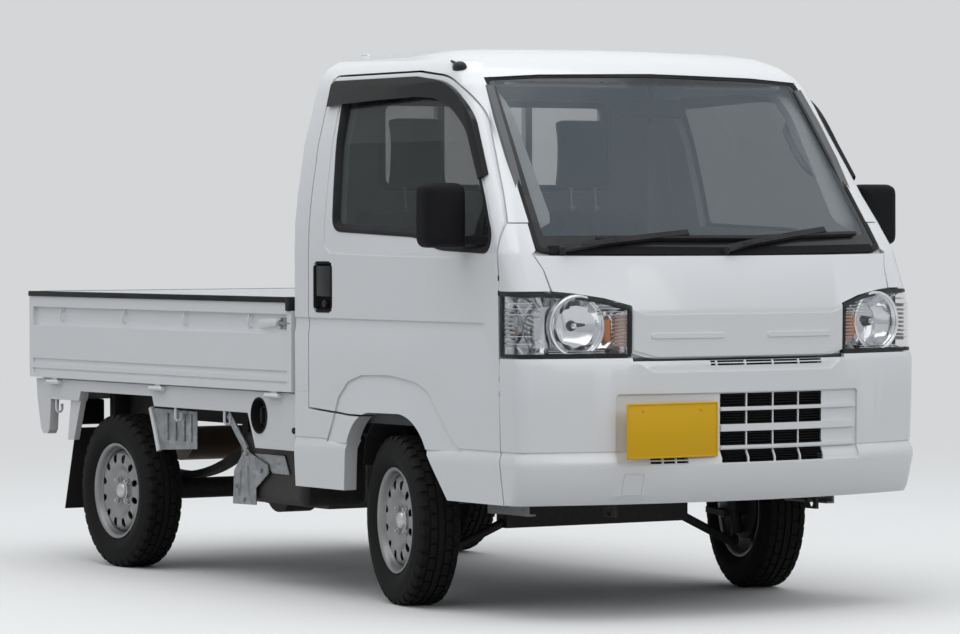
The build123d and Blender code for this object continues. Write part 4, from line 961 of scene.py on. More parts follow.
def grown(points: Sequence[Place], distance: float) -> list[Vector]:
    """Moves each place of a closed flat line out along the line's own normal.

    Args:
        points: The line's places, as X and Z or as Y and Z.
        distance: How far they move; less than 0 moves them in.

    Returns:
        The moved places.
    """
    places = [Vector(point[:2]) for point in points]
    area = sum(a.x * b.y - b.x * a.y for a, b in zip(places, places[1:] + places[:1]))
    way = -distance if area > 0 else distance
    moved = []
    for number, here in enumerate(places):
        along = (places[(number + 1) % len(places)] - places[number - 1]).normalized()
        moved.append(here + Vector((-along.y, along.x)) * way)
    return moved


def oblong(first: Sequence[float], second: Sequence[float], radius: float, steps: int = 4) -> list[Vector]:
    """A rectangle between two places along each of two axes, with rounded corners."""
    return rounded([(first[0], second[0]), (first[1], second[0]), (first[1], second[1]), (first[0], second[1])],
                   radius, steps)


def swollen(form: Form, voxel: float, most: float) -> None:
    """Turns a pad's rough shape into even cloth and blows it up.

    Args:
        form: The pad, closed.
        voxel: The size of its new faces.
        most: How far a place may move.
    """
    mesh = bpy.data.meshes.new("pad_work")
    bmesh.ops.scale(form.bm, vec=(MM, MM, MM), verts=form.bm.verts[:])
    form.bm.to_mesh(mesh)
    work = bpy.data.objects.new("pad_work", mesh)
    scene = bpy.context.scene
    scene.collection.objects.link(work)
    even = work.modifiers.new("even", "REMESH")
    even.mode, even.voxel_size = "VOXEL", voxel / PER_METRE
    start = bpy.data.meshes.new_from_object(work.evaluated_get(bpy.context.evaluated_depsgraph_get()))
    work.modifiers.clear()
    work.data = start
    places = [vert.co.copy() for vert in start.vertices]
    cloth = work.modifiers.new("cloth", "CLOTH")
    cloth.settings.use_pressure = True
    cloth.settings.uniform_pressure_force = CLOTH_PRESSURE
    cloth.settings.effector_weights.gravity = 0.0
    cloth.point_cache.frame_start, cloth.point_cache.frame_end = 1, CLOTH_FRAMES
    for number in range(1, CLOTH_FRAMES + 1):
        scene.frame_set(number)
    blown = bpy.data.meshes.new_from_object(work.evaluated_get(bpy.context.evaluated_depsgraph_get()))
    for number, vert in enumerate(blown.vertices):
        move = vert.co - places[number]
        places[number] = places[number] + move * min(1.0, most / PER_METRE / max(move.length, 1e-9))
    work.modifiers.clear()
    scene.frame_set(1)
    form.bm.clear()
    form.bm.from_mesh(start)
    for vert, place in zip(form.bm.verts, places):
        vert.co = place * PER_METRE
    bpy.data.objects.remove(work)


def strip_section(width: float, height: float, sink: float = 2.0) -> list[tuple]:
    """A low strip's section with eased upper corners."""
    ease = min(width, height) * 0.3
    return [(-width / 2, -sink), (width / 2, -sink), (width / 2, height - ease), (width / 2 - ease, height),
            (ease - width / 2, height), (-width / 2, height - ease)]


def bar_section(wide: float, low: float, top_wide: float = 0.0, high: float = 0.0) -> list[tuple]:
    """A bar's section, as half its width and its depth under the path, and over it where those differ."""
    top_wide, high = top_wide or wide, high or low
    return [(-wide, -low), (wide, -low), (top_wide, high), (-top_wide, high)]


def round_section(radius: float, sides: int = 10) -> list[tuple]:
    """A round bar's section."""
    return [(radius * math.cos(math.tau * n / sides), radius * math.sin(math.tau * n / sides)) for n in range(sides)]


# The studio

@dataclass
class Studio:
    """Camera, lamps and floor."""

    eye: tuple = (12.518, -7.7446, 1.17356)
    heading: float = 147.92
    pitch: float = -1.164
    roll: float = -0.151
    focal_pixels: float = 4405.2
    frame_width: int = 960
    sensor: float = 36.0
    overhead_place: tuple = (0.5, -1.0, 7.0)
    front_place: tuple = (9.0, 1.0, 4.5)
    sky: float = 0.90
    sky_colour: tuple = (0.93, 0.96, 1.0, 1)
    backdrop: tuple = (0.72, 0.73, 0.74, 1)
    overhead: float = 190.0
    front: float = 70.0
    floor_radius: float = 22.0
    rim_radius: float = 14.0

    def build(self) -> None:
        """Sets up the camera, the lamps and the floor."""
        self.camera()
        self.lamps()
        self.floor()

    def camera(self) -> None:
        """Places the camera where the photograph was taken from."""
        heading, pitch, roll = (math.radians(a) for a in (self.heading, self.pitch, self.roll))
        look = Vector((math.cos(pitch) * math.cos(heading), math.cos(pitch) * math.sin(heading), math.sin(pitch)))
        right = look.cross(Vector((0, 0, 1))).normalized()
        up = right.cross(look)
        side = right * math.cos(roll) + up * math.sin(roll)
        top = up * math.cos(roll) - right * math.sin(roll)
        lens = bpy.data.cameras.new("camera")
        lens.sensor_width = self.sensor
        lens.lens = self.focal_pixels / self.frame_width * self.sensor
        lens.clip_end = 100.0
        made = bpy.data.objects.new("camera", lens)
        made.matrix_world = standing(self.eye, side, top, -look)
        bpy.context.scene.collection.objects.link(made)
        bpy.context.scene.camera = made
        bpy.context.scene.view_settings.view_transform = "Standard"

    def lamp(self, name: str, place: Place, target: Place, size: float, power: float) -> None:
        """Adds one soft square lamp.

        Args:
            name: Its name.
            place: Where it hangs, in metres.
            target: What it faces.
            size: Its side length.
            power: Its power in watts.
        """
        light = bpy.data.lights.new(name, "AREA")
        light.shape, light.size, light.energy = "SQUARE", size, power
        made = bpy.data.objects.new(name, light)
        aim = (Vector(target) - Vector(place)).to_track_quat("-Z", "Y")
        made.matrix_world = Matrix.Translation(place) @ aim.to_matrix().to_4x4()
        bpy.context.scene.collection.objects.link(made)

    def lamps(self) -> None:
        """Adds a broad overhead lamp, a front lamp and an even sky."""
        self.lamp("overhead_lamp", self.overhead_place, (0, 0, 0.5), 7.0, self.overhead)
        self.lamp("front_lamp", self.front_place, (0.5, 0, 0.8), 4.0, self.front)
        sky = Shader("studio_sky", sky=True)
        light = sky.node("ShaderNodeBackground", sockets={"Color": self.sky_colour, "Strength": self.sky})
        seen = sky.node("ShaderNodeBackground", sockets={"Color": self.backdrop})
        shown = sky.ray("Camera", "Glossy", "Transmission")
        bpy.context.scene.world = sky.close(
            sky.node("ShaderNodeMixShader", sockets={0: shown, 1: light, 2: seen}))

    def floor(self) -> None:
        """Turns a round floor whose far rim curves up, so that no horizon shows."""
        form = Form()
        flat = form.bm
        profile = [(0.0, 0.0), (6.0, 0.0), (self.floor_radius, 0.0)]
        for step in range(1, 13):
            turn = math.radians(step * 6.0)
            profile.append((self.floor_radius + self.rim_radius * math.sin(turn),
                            self.rim_radius * (1 - math.cos(turn))))
        form.lathe(profile, Matrix(), 96)
        bmesh.ops.remove_doubles(flat, verts=flat.verts[:], dist=0.0001)
        bmesh.ops.recalc_face_normals(flat, faces=flat.faces[:])
        lowest = min(flat.faces, key=lambda face: face.calc_center_median().length)
        if lowest.normal.z < 0:
            bmesh.ops.reverse_faces(flat, faces=flat.faces[:])
        for face in flat.faces:
            face.smooth = True
        mesh = bpy.data.meshes.new("floor")
        flat.to_mesh(mesh)
        flat.free()
        mesh.materials.append(FLOOR.material())
        made = bpy.data.objects.new("floor", mesh)
        bpy.context.scene.collection.objects.link(made)


# CAD sheet metal with eased edges

@dataclass
class Panels:
    """The CAD's painted panels, with smooth faces and eased edges."""

    ease: float = 1.6
    smooth: float = 32.0
    merge: float = 0.02
    flat: float = 0.6
    sharp: float = 38.0

    def skin(self, node: str, finish: Finish, body: str = "truck") -> None:
        """Builds one panel over its CAD node.

        Args:
            node: The CAD node.
            finish: The panel's finish.
            body: Its body.
        """
        form = Form()
        form.read(node)
        bmesh.ops.remove_doubles(form.bm, verts=form.bm.verts[:], dist=self.merge)
        bmesh.ops.dissolve_limit(form.bm, angle_limit=math.radians(self.flat), verts=form.bm.verts[:],
                                 edges=form.bm.edges[:])
        made = form.piece(f"{node}_sheet", finish, body, replaces=[node], smooth=self.smooth, tidy=False)
        edge = made.modifiers.new("eased_edges", "BEVEL")
        edge.limit_method = "ANGLE"
        edge.angle_limit = math.radians(self.sharp)
        edge.width = self.ease / PER_METRE
        edge.segments = 2
        edge.harden_normals = True

    def build(self) -> None:
        """Builds every painted panel."""
        for node in ("cab_roof", "cab_back", "cab_sides", "cab_front", "front_panel", "fender_corners", "front_bumper"):
            self.skin(node, WHITE)
        for node in ("headboard", "bed_floor", "bed_side_rails", "rear_sill"):
            self.skin(node, BED_WHITE)
        for side, _ in SIDES:
            self.skin(f"door_{side}", WHITE, f"door_{side}_body")
            self.skin(f"side_gate_{side}", WHITE, f"side_gate_{side}_body")
            self.skin(f"rain_visor_{side}", SMOKED, f"door_{side}_body")
        self.skin("tail_gate", WHITE, "tail_gate_body")


@dataclass
class Carried:
    """CAD nodes that stay as they are and only get a better material."""

    def build(self) -> None:
        """Dresses each node."""
        dressed = {
            CABIN_GREY: ("cab_floor", "dashboard", "steering_column"),
            BLACK_STEEL: ("frame_rails", "bed_cross_members", "bumper_beam", "front_cross_member", "knuckle_left",
                          "knuckle_right", "rear_axle", "leaf_springs", "fuel_tank", "door_hinges"),
            WHITE: ("gate_hinges",),
            DARK_CAST: ("engine_block",),
            RUSTED: ("exhaust",),
            SIDE_GLASS: ("door_glass_left", "door_glass_right"),
            BACK_GLASS: ("rear_window",),
            SCREEN_GLASS: ("windshield",),
            CLEAR_LENS: ("headlamp_lenses",),
            FLAP_RUBBER: ("mud_flaps",),
        }
        for finish, nodes in dressed.items():
            for node in nodes:
                data = frame["nodes"][node].data
                data.materials.clear()
                data.materials.append(finish.material())
                LOG.info("%s dressed in %s", node, finish.name)


# Wheels

@dataclass
class Wheel:
    """One wheel: a block-tread tyre on a pierced steel disc."""

    end: str
    side: str
    sign: int
    groove_radius: float = 257.0
    tread_radius: float = 263.8
    shoulder: tuple = (243, 41)
    crown: float = 250
    row: tuple = (15, 34)
    rib: float = 8
    steps: int = 216
    pitch: int = 6
    holes: int = 12
    hole_circle: float = 113.0
    hole_size: float = 12.5
    hole_stretch: float = 0.85
    nuts: int = 4
    nut_circle: float = 50.0

    def __post_init__(self) -> None:
        """Reads the wheel's middle and axis from its joint, its outer side up."""
        self.name = f"{self.end}_{self.side}"
        self.body = f"{self.end}_wheel_{self.side}"
        joint = joint_of(f"{self.body}_spin")
        out = Vector(joint["axis"]).normalized() * self.sign
        across = Vector((0, 0, 1)).cross(out).normalized()
        self.place = standing(measured(Vector(joint["pos_m"])), across, out.cross(across), out)

    def build(self) -> None:
        """Builds the tyre, the disc and the hub."""
        self.tyre()
        self.disc()
        self.hub()

    def tyre(self) -> None:
        """Turns the casing, then raises the tread's blocks from it."""
        form = Form()
        half = [(158.4, 42), (160, 50), (167, 56), (171, 60.5), (176, 62.5), (181, 66), (196, 71.2), (207, 72.8),
                (209, 73.0), (211, 72.6), (213, 72.8), (226, 71.0), (238, 67.6), (240, 67.8), (242, 66.6)]
        tread = [(249, 63.0), (255, 58.5), (self.groove_radius, 52), (self.groove_radius, 41),
                 (self.groove_radius, 34), (self.groove_radius, 15), (self.groove_radius, 8)]
        outside = half + tread
        profile = outside + [(r, -h) for r, h in reversed(outside)] + [(165, -34), (165, 34), half[0]]
        form.lathe(profile, Matrix(), self.steps)
        form.close_up()
        blocks = []
        for face in form.bm.faces:
            middle = face.calc_center_median()
            radius = math.hypot(middle.x, middle.y)
            step = math.atan2(middle.y, middle.x) / math.tau * self.steps
            high = abs(middle.z)
            half_pitch = 0 if middle.z > 0 else self.pitch // 2
            shoulder = radius > self.shoulder[0] and high > self.shoulder[1] and (step + half_pitch) % self.pitch > 1.6
            between = self.row[0] < high < self.row[1] and (step + half_pitch + 2) % self.pitch > 1.1
            if shoulder or radius > self.crown and (between or high < self.rib):
                blocks.append(face)
        made = bmesh.ops.extrude_face_region(form.bm, geom=blocks)["geom"]
        for vert in verts_in(made):
            radius = math.hypot(vert.co.x, vert.co.y)
            rise = (self.tread_radius - self.groove_radius) * min(1.0, max(0.35, (radius - 242) / 12))
            vert.co.x *= (radius + rise) / radius
            vert.co.y *= (radius + rise) / radius
        bmesh.ops.delete(form.bm, geom=[f for f in blocks if f.is_valid], context="FACES_ONLY")
        bmesh.ops.transform(form.bm, matrix=self.place, verts=form.bm.verts[:])
        form.piece(f"tyre_{self.name}_tread", TYRE_RUBBER, self.body, replaces=[f"tyre_{self.name}"], smooth=28.0)

    def disc(self) -> None:
        """Makes the rim and the pierced disc."""
        form = Form()
        form.lathe([(165, 60), (166, 58), (163, 56), (158, 55), (155, 50), (154, 40), (150, 33), (146, 28),
                    (146, -36), (154, -44), (157, -54), (165, -57), (165, -60), (161, -60), (154, -56),
                    (151, -46), (142, -38), (142, 30), (148, 38), (150, 42), (152, 52), (157, 59), (161, 61),
                    (165, 60)], self.place, 72)
        disc = form.lathe([(0, 27), (56, 27), (66, 29), (74, 33), (84, 42), (94, 47), (98, 48), (103, 48.5),
                           (108, 48.6), (113, 48.4), (118, 47.8), (123, 46.6), (128, 44), (133, 40), (139, 30),
                           (143, 24), (143, 20), (136, 24), (130, 34), (125, 39), (120, 41), (115, 42.4), (109, 43),
                           (103, 43), (98, 42), (90, 40), (76, 27), (62, 22), (0, 22)], self.place, 192)
        self.pierce(form, disc)
        form.piece(f"wheel_{self.name}_disc", WHEEL_SILVER, self.body, replaces=[f"wheel_{self.name}"],
                   smooth=40.0)

    def pierce(self, form: Form, faces: list) -> None:
        """Opens a ring of round holes in the disc.

        Args:
            form: The wheel's mesh.
            faces: The disc's faces.
        """
        back = self.place.inverted()
        sector = math.tau / self.holes
        chosen = []
        for face in faces:
            middle = back @ face.calc_center_median()
            radius = math.hypot(middle.x, middle.y)
            turn = (math.atan2(middle.y, middle.x) + math.tau) % sector - sector / 2
            off = (radius - self.hole_circle) * self.hole_stretch, turn * self.hole_circle
            if math.hypot(*off) < self.hole_size:
                chosen.append(face)
        bmesh.ops.delete(form.bm, geom=chosen, context="FACES")

    def hub(self) -> None:
        """Adds the hub's cap, the wheel nuts and the drum behind the holes."""
        place = self.place
        form = Form()
        form.lathe([(0, 52), (14, 51.5), (22, 49), (27, 44), (29, 36), (32, 34), (33, 27)], place, 40)
        for number in range(self.nuts):
            angle = math.tau * (number + 0.5) / self.nuts
            spot = Vector((math.cos(angle) * self.nut_circle, math.sin(angle) * self.nut_circle, 0))
            for radius, low, high, sides in ((12.5, 26, 29, 20), (10.5, 29, 40, 6), (6, 40, 47, 12)):
                form.rod(place @ (spot + Vector((0, 0, low))), place @ (spot + Vector((0, 0, high))), radius,
                         segments=sides, bevel=0.8)
        form.piece(f"hub_{self.name}", BRIGHT_STEEL, self.body)
        drum = Form()
        drum.lathe([(0, 18), (96, 18), (104, 12), (106, -30), (0, -30)], place, 48)
        drum.piece(f"drum_{self.name}", BLACK_STEEL, self.body)


# Front of the cab

@dataclass
class Headlamp(Sided):
    """One headlamp: a dark edge, a bright tray with louvres, a fluted bowl, a turn lamp and a marker."""

    inner_y: float = 392.0
    low_z: float = 786.0
    side_x: float = 637.0
    turn_x: float = 640.0
    turn_y: float = 640.0
    top: tuple = ((392, 936), (470, 958), (560, 973), (640, 979))
    bowl_y: float = 556.0
    bowl_z: float = 880.0
    bowl_radius: float = 84.0
    edge_width: float = 11.0
    tray_middle: tuple = (545, 880)
    out_turn: float = 0.10
    flute_rows: int = 9

    def __post_init__(self) -> None:
        """Reads the lens, which the lamp's parts are set behind."""
        self.lens = Surface("headlamp_lenses")

    def outline(self, inset: float) -> tuple[list, list]:
        """Runs round the lamp's edge on the cab's face.

        Args:
            inset: How far inside the edge the line runs.

        Returns:
            The places and the face's normals there.
        """
        high, low = self.top[-1][1] - inset, self.low_z + inset
        flat = [(self.inner_y + inset, low)]
        flat += [(y + (inset if n == 0 else 0), z - inset) for n, (y, z) in enumerate(self.top)]
        spots = [self.lens.front(*p) for p in spaced(flat, 20)]
        turns = [math.radians(a) for a in range(8, 84, 8)]
        spots += [self.radial(a, high) for a in turns]
        rear = self.side_x + inset
        spots += [self.lens.flank(rear, high + (low - high) * n / 10, 1) for n in range(11)]
        spots += [self.radial(a, low) for a in reversed(turns)]
        spots += [self.lens.front(*p) for p in spaced([(self.turn_y, low), (self.inner_y + inset, low)], 20)[:-1]]
        return [spot for spot, _ in spots], [normal for _, normal in spots]

    def radial(self, angle: float, z: float) -> tuple[Vector, Vector]:
        """The lens's face round the cab's corner.

        Args:
            angle: The angle from straight ahead towards the side, in radians.
            z: The height.

        Returns:
            The place and the outward normal.
        """
        way = Vector((math.cos(angle), math.sin(angle), 0))
        start = Vector((self.turn_x, self.turn_y, z)) + way * 400
        return self.lens.drop(start, -way)

    def build(self) -> None:
        """Builds the lamp's parts."""
        path, ups = self.outline(self.edge_width / 2)
        edge = Form()
        edge.sweep(path, strip_section(self.edge_width, 1.2, 10), ups, closed=True)
        self.finish(edge, "headlamp_edge", GLOSS_BLACK)
        self.tray()
        self.louvres()
        self.bowl()
        self.turn_lamp()
        self.marker()

    def tray(self) -> None:
        """Makes the bright tray."""
        tray = Form()
        path, ups = self.outline(self.edge_width - 2)
        rows = [[spot - normal * 6 for spot, normal in zip(path, ups)]]
        for deep, share in ((16, 0.04), (34, 0.10), (46, 0.22)):
            sunk = [spot - normal * deep for spot, normal in zip(path, ups)]
            rows.append([place.lerp(Vector((place.x, *self.tray_middle)), share) for place in sunk])
        tray.bands(rows, last_cap=True)
        self.finish(tray, "headlamp_tray", REFLECTOR, replaces=["headlamps"], smooth=50)

    def behind(self, ys: Iterable[float], z: float, depth: float) -> list[Vector]:
        """A row of places behind the lens, seen from ahead."""
        return [self.lens.front(y, z)[0] - Vector((depth, 0, 0)) for y in ys]

    def louvres(self) -> None:
        """Makes the bright louvres above, below and round the corner."""
        slats = Form()
        for number in range(5):
            slats.sweep(self.behind(range(408, 489, 16), 912 + number * 9.5, 18 + number),
                        [(-12, -1), (0, -1.6), (12, -1), (12, 1), (0, 1), (-12, 1)])
        for z in (800, 806):
            slats.sweep(self.behind(range(470, 641, 17), z, 20), bar_section(14, 1))
        turns = [math.radians(a) for a in range(24, 89, 8)]
        for z in (828, 850, 915, 932, 949):
            row = [self.radial(a, z)[0] - Vector((math.cos(a), math.sin(a), 0)) * 18 for a in turns]
            slats.sweep(row, bar_section(11, 1.2))
        self.finish(slats, "headlamp_louvres", REFLECTOR)

    def bowl(self) -> None:
        """Makes the fluted bowl, its bright ring and the bulb's shade."""
        spot, _ = self.lens.front(self.bowl_y, self.bowl_z)
        out = Vector((1.0, self.out_turn, 0)).normalized()
        side = Vector((0, 0, 1)).cross(out).normalized()
        place = standing(spot - out * 66, side, out.cross(side), out)
        back = place.inverted()
        r = self.bowl_radius
        dish = Form()
        dish.lathe([(9, -16), (22, -13), (34, -7), (46, 2), (58, 13), (70, 27), (r - 6, 42), (r - 1, 52),
                    (r + 1, 53), (r + 1, 40), (60, 4), (30, -18), (9, -20), (9, -16)], place, 96)
        for vert in dish.bm.verts:
            here = back @ vert.co
            radius = math.hypot(here.x, here.y)
            if 20 < radius < r - 4 and here.z > -20:
                upper = here.y > 6
                wave = math.sin(here.x / (3.2 if upper else 6.0)) * (1.6 if upper else 2.2)
                vert.co = place @ (here + Vector((0, 0, wave)))
        self.finish(dish, "headlamp_dish", REFLECTOR, smooth=60)
        ring = Form()
        ring.lathe([(r - 1, 50), (r, 56), (r + 4, 59), (r + 9, 57), (r + 11, 46), (r + 8, 30), (r + 2, 30),
                    (r - 1, 50)], place, 72)
        self.finish(ring, "headlamp_ring", LAMP_RING, smooth=50)
        shade = Form()
        shade.lathe([(0, 30), (11, 29), (14, 24), (15, 4), (19, -6), (0, -10)], place, 28)
        shade.rod(place @ Vector((-66, 2, 20)), place @ Vector((0, 2, 16)), 5, 7, segments=10)
        self.finish(shade, "headlamp_shade", DARK_CAST)
        bulb = Form()
        bulb.lathe([(0, 42), (5, 41), (8, 37), (9, 30), (0, 28)], place, 20)
        self.finish(bulb, "headlamp_bulb", REFLECTOR)

    def turn_lamp(self) -> None:
        """Makes the turn lamp at the inner end: an amber bulb and ribbed clear cover."""
        amber, cover = Form(), Form()
        near, _ = self.lens.front(452, 866)
        amber.rod(near + Vector((-30, 0, -34)), near + Vector((-30, 0, 34)), 12, 12, bevel=7, segments=18)
        self.finish(amber, "turn_lamp", AMBER)
        for number in range(self.flute_rows):
            cover.sweep(self.behind(range(404, 443, 9), 822 + number * 10.5, 12), round_section(4.4, 8))
        self.finish(cover, "turn_cover", TURN_COVER)

    def marker(self) -> None:
        """Makes the marker lamp at the outer end, with ribs across it and a small bulb."""
        cover, bulb = Form(), Form()
        for number in range(self.flute_rows):
            z = 822 + number * 13
            row = [self.lens.flank(x, z, 1)[0] - Vector((0, 9, 0)) for x in range(652, 701, 12)]
            cover.sweep(row, round_section(4.2, 8))
        self.finish(cover, "marker_cover", CLEAR_RIBBED)
        spot = self.lens.flank(678, 866, 1)[0] - Vector((0, 26, 0))
        bulb.rod(spot - Vector((0, 0, 18)), spot + Vector((0, 0, 14)), 8, 8, bevel=4)
        self.finish(bulb, "marker_bulb", MARKER_BULB)


class Wiper(Enum):
    """The two wipers: their pivots, arm ends and blade ends, as Y and Z seen from ahead."""

    DRIVER = ((-563, 1100), (-138, 1146), (-443, 1135), (104, 1133))
    PASSENGER = ((-22, 1098), (399, 1154), (67, 1133), (542, 1147))


@dataclass
class Front:
    """What sits on the cab's front: wipers, cowl, screen seal, grille fins, dark backs of painted shade and plate."""

    rows: tuple = ((464, 502), (515, 557), (579, 619), (631, 672))
    grille_y: tuple = (-99, 297)
    fins: int = 5
    ribs: tuple = (508.5, 568.0, 625.0)
    plate_y: tuple = (-445, -115)
    plate_z: tuple = (484, 649)

    def build(self) -> None:
        """Builds the front's small parts."""
        self.wipers()
        self.screen_seal()
        self.fins_behind_grille()
        self.plate()

    def wipers(self) -> None:
        """Makes both wipers from pivot, arm, bridge and blade."""
        face = Surface("windshield", "front_panel", "fender_corners")
        form = Form()
        blades = Form()
        for wiper in Wiper:
            pivot, arm_end, low, high = wiper.value
            (start, up), (end, end_up) = face.front(*pivot), face.front(*arm_end)
            form.rod(start - up * 6, start + up * 20, 15, 11, bevel=3)
            form.rod(start + up * 18, start + up * 26, 9, 6, bevel=2)
            knee = start.lerp(end, 0.28)
            path = [start + up * 17, knee + up * 22, start.lerp(end, 0.7) + up * 19, end + end_up * 15]
            form.sweep(path, bar_section(11, 5, 9, 7), [up, up, end_up, end_up])
            form.sweep([start.lerp(end, share) + up * 25 for share in (0.15, 0.3, 0.45)], bar_section(4, 3, 3, 4), up)
            spots = [face.front(low[0] + (high[0] - low[0]) * n / 12, low[1] + (high[1] - low[1]) * n / 12)
                     for n in range(13)]
            ups = [normal for _, normal in spots]
            blades.sweep([spot + normal * 3.2 for spot, normal in spots],
                         [(-2.5, -3), (2.5, -3), (1.4, 2), (4, 4), (-4, 4), (-1.4, 2)], ups)
            form.sweep([spot + normal * (9 + 3 * math.sin(math.pi * n / 12)) for n, (spot, normal) in
                        enumerate(spots)], bar_section(7, 5, 5, 6), ups)
        form.piece("wiper_arms", GLOSS_BLACK, replaces=["wipers"])
        blades.piece("wiper_blades", SEAL)

    def screen_seal(self) -> None:
        """Lays a rubber seal round the windscreen and a dark cowl strip under it."""
        face = Surface("windshield", "front_panel", "fender_corners", "cab_roof", "cab_sides")
        right = [(0, 1090), (-400, 1093), (-638, 1101), (-585, 1632), (-400, 1643), (0, 1650)]
        outline = right + [(-y, z) for y, z in reversed(right[1:-1])]
        line = spaced(rounded(outline, 26), 45, closed=True)
        form = Form()
        glass = Surface("windshield")
        path, _ = face.laid(grown(line, -5))
        ups = [glass.front(point.y * 0.9, min(max(point.z, 1135), 1600))[1] for point in path]
        form.sweep(path, strip_section(17, 2.6, 6), ups, closed=True)
        form.piece("screen_seal", SEAL)
        cowl = Form()
        path, ups = face.laid([(y, 1098 + abs(y) * 0.012) for y in range(-600, 601, 60)])
        cowl.sweep(path, strip_section(30, 4, 3), ups)
        cowl.piece("cowl_strip", BLACK_PLASTIC)

    def fins_behind_grille(self) -> None:
        """Fills the grille's openings with thin fins, and backs every opening with a dark sheet that stands for the
        shade inside it: painted shade.
        """
        face = Surface("front_bumper")
        spots = range(self.grille_y[0], self.grille_y[1] + 1, 36)
        fins, backs = Form(), Form()
        for number, (low, high) in enumerate(self.rows):
            rib = self.ribs[min(number, len(self.ribs) - 1)]
            line = [face.front(y, rib)[0] for y in spots]
            for fin in range(self.fins):
                z = low + (high - low) * (fin + 0.5) / self.fins
                fins.sweep([(p.x - 17, p.y, z) for p in line], [(-8, -1.2), (8, -2.4), (8, 0), (-8, 1.4)])
        fins.piece("grille_fins", BLACK_PLASTIC)
        # The dark sheets behind the openings stand for the shade inside them: painted shade.
        middle = [face.front(y, self.ribs[1])[0] for y in spots]
        backs.sweep([(p.x - 32, p.y, 568) for p in middle], bar_section(112, 1), (1, 0, 0))
        for first, last, z, high in ((-134, 299, 764.5, 12), (-343, -209, 475, 14)):
            line = [face.front(y, z)[0] for y in range(first, last + 1, 43)]
            depth = min(p.x for p in line)
            line = [(max(p.x, depth) - 22, p.y, z) for p in line]
            backs.sweep(line, bar_section(high, 1), (1, 0, 0))
        backs.piece("painted_shade_backs", SEAL)

    def plate(self) -> None:
        """Makes the blank plate with a raised rim and its two fixings."""
        form = Form()
        (left, right), (low, high) = self.plate_y, self.plate_z
        form.box((881.2, 883), self.plate_y, self.plate_z, 0.5)
        path = [(883, p.x, p.y) for p in oblong((left + 3, right - 3), (low + 3, high - 3), 6)]
        form.sweep(path, bar_section(2.5, 1, 1.5, 2), (1, 0, 0), closed=True)
        for fix in (-385, -175):
            form.rod((882, fix, 628), (885, fix, 628), 6, 5, segments=16, bevel=0.8)
        back = Form()
        for fix in (-360, -200):
            back.box((868, 881.5), (fix - 15, fix + 15), (560, 600), 2)
        back.piece("plate_fixings", BLACK_PLASTIC)
        form.piece("blank_plate", PLATE_YELLOW, replaces=["number_plate"])


# Doors and mirrors

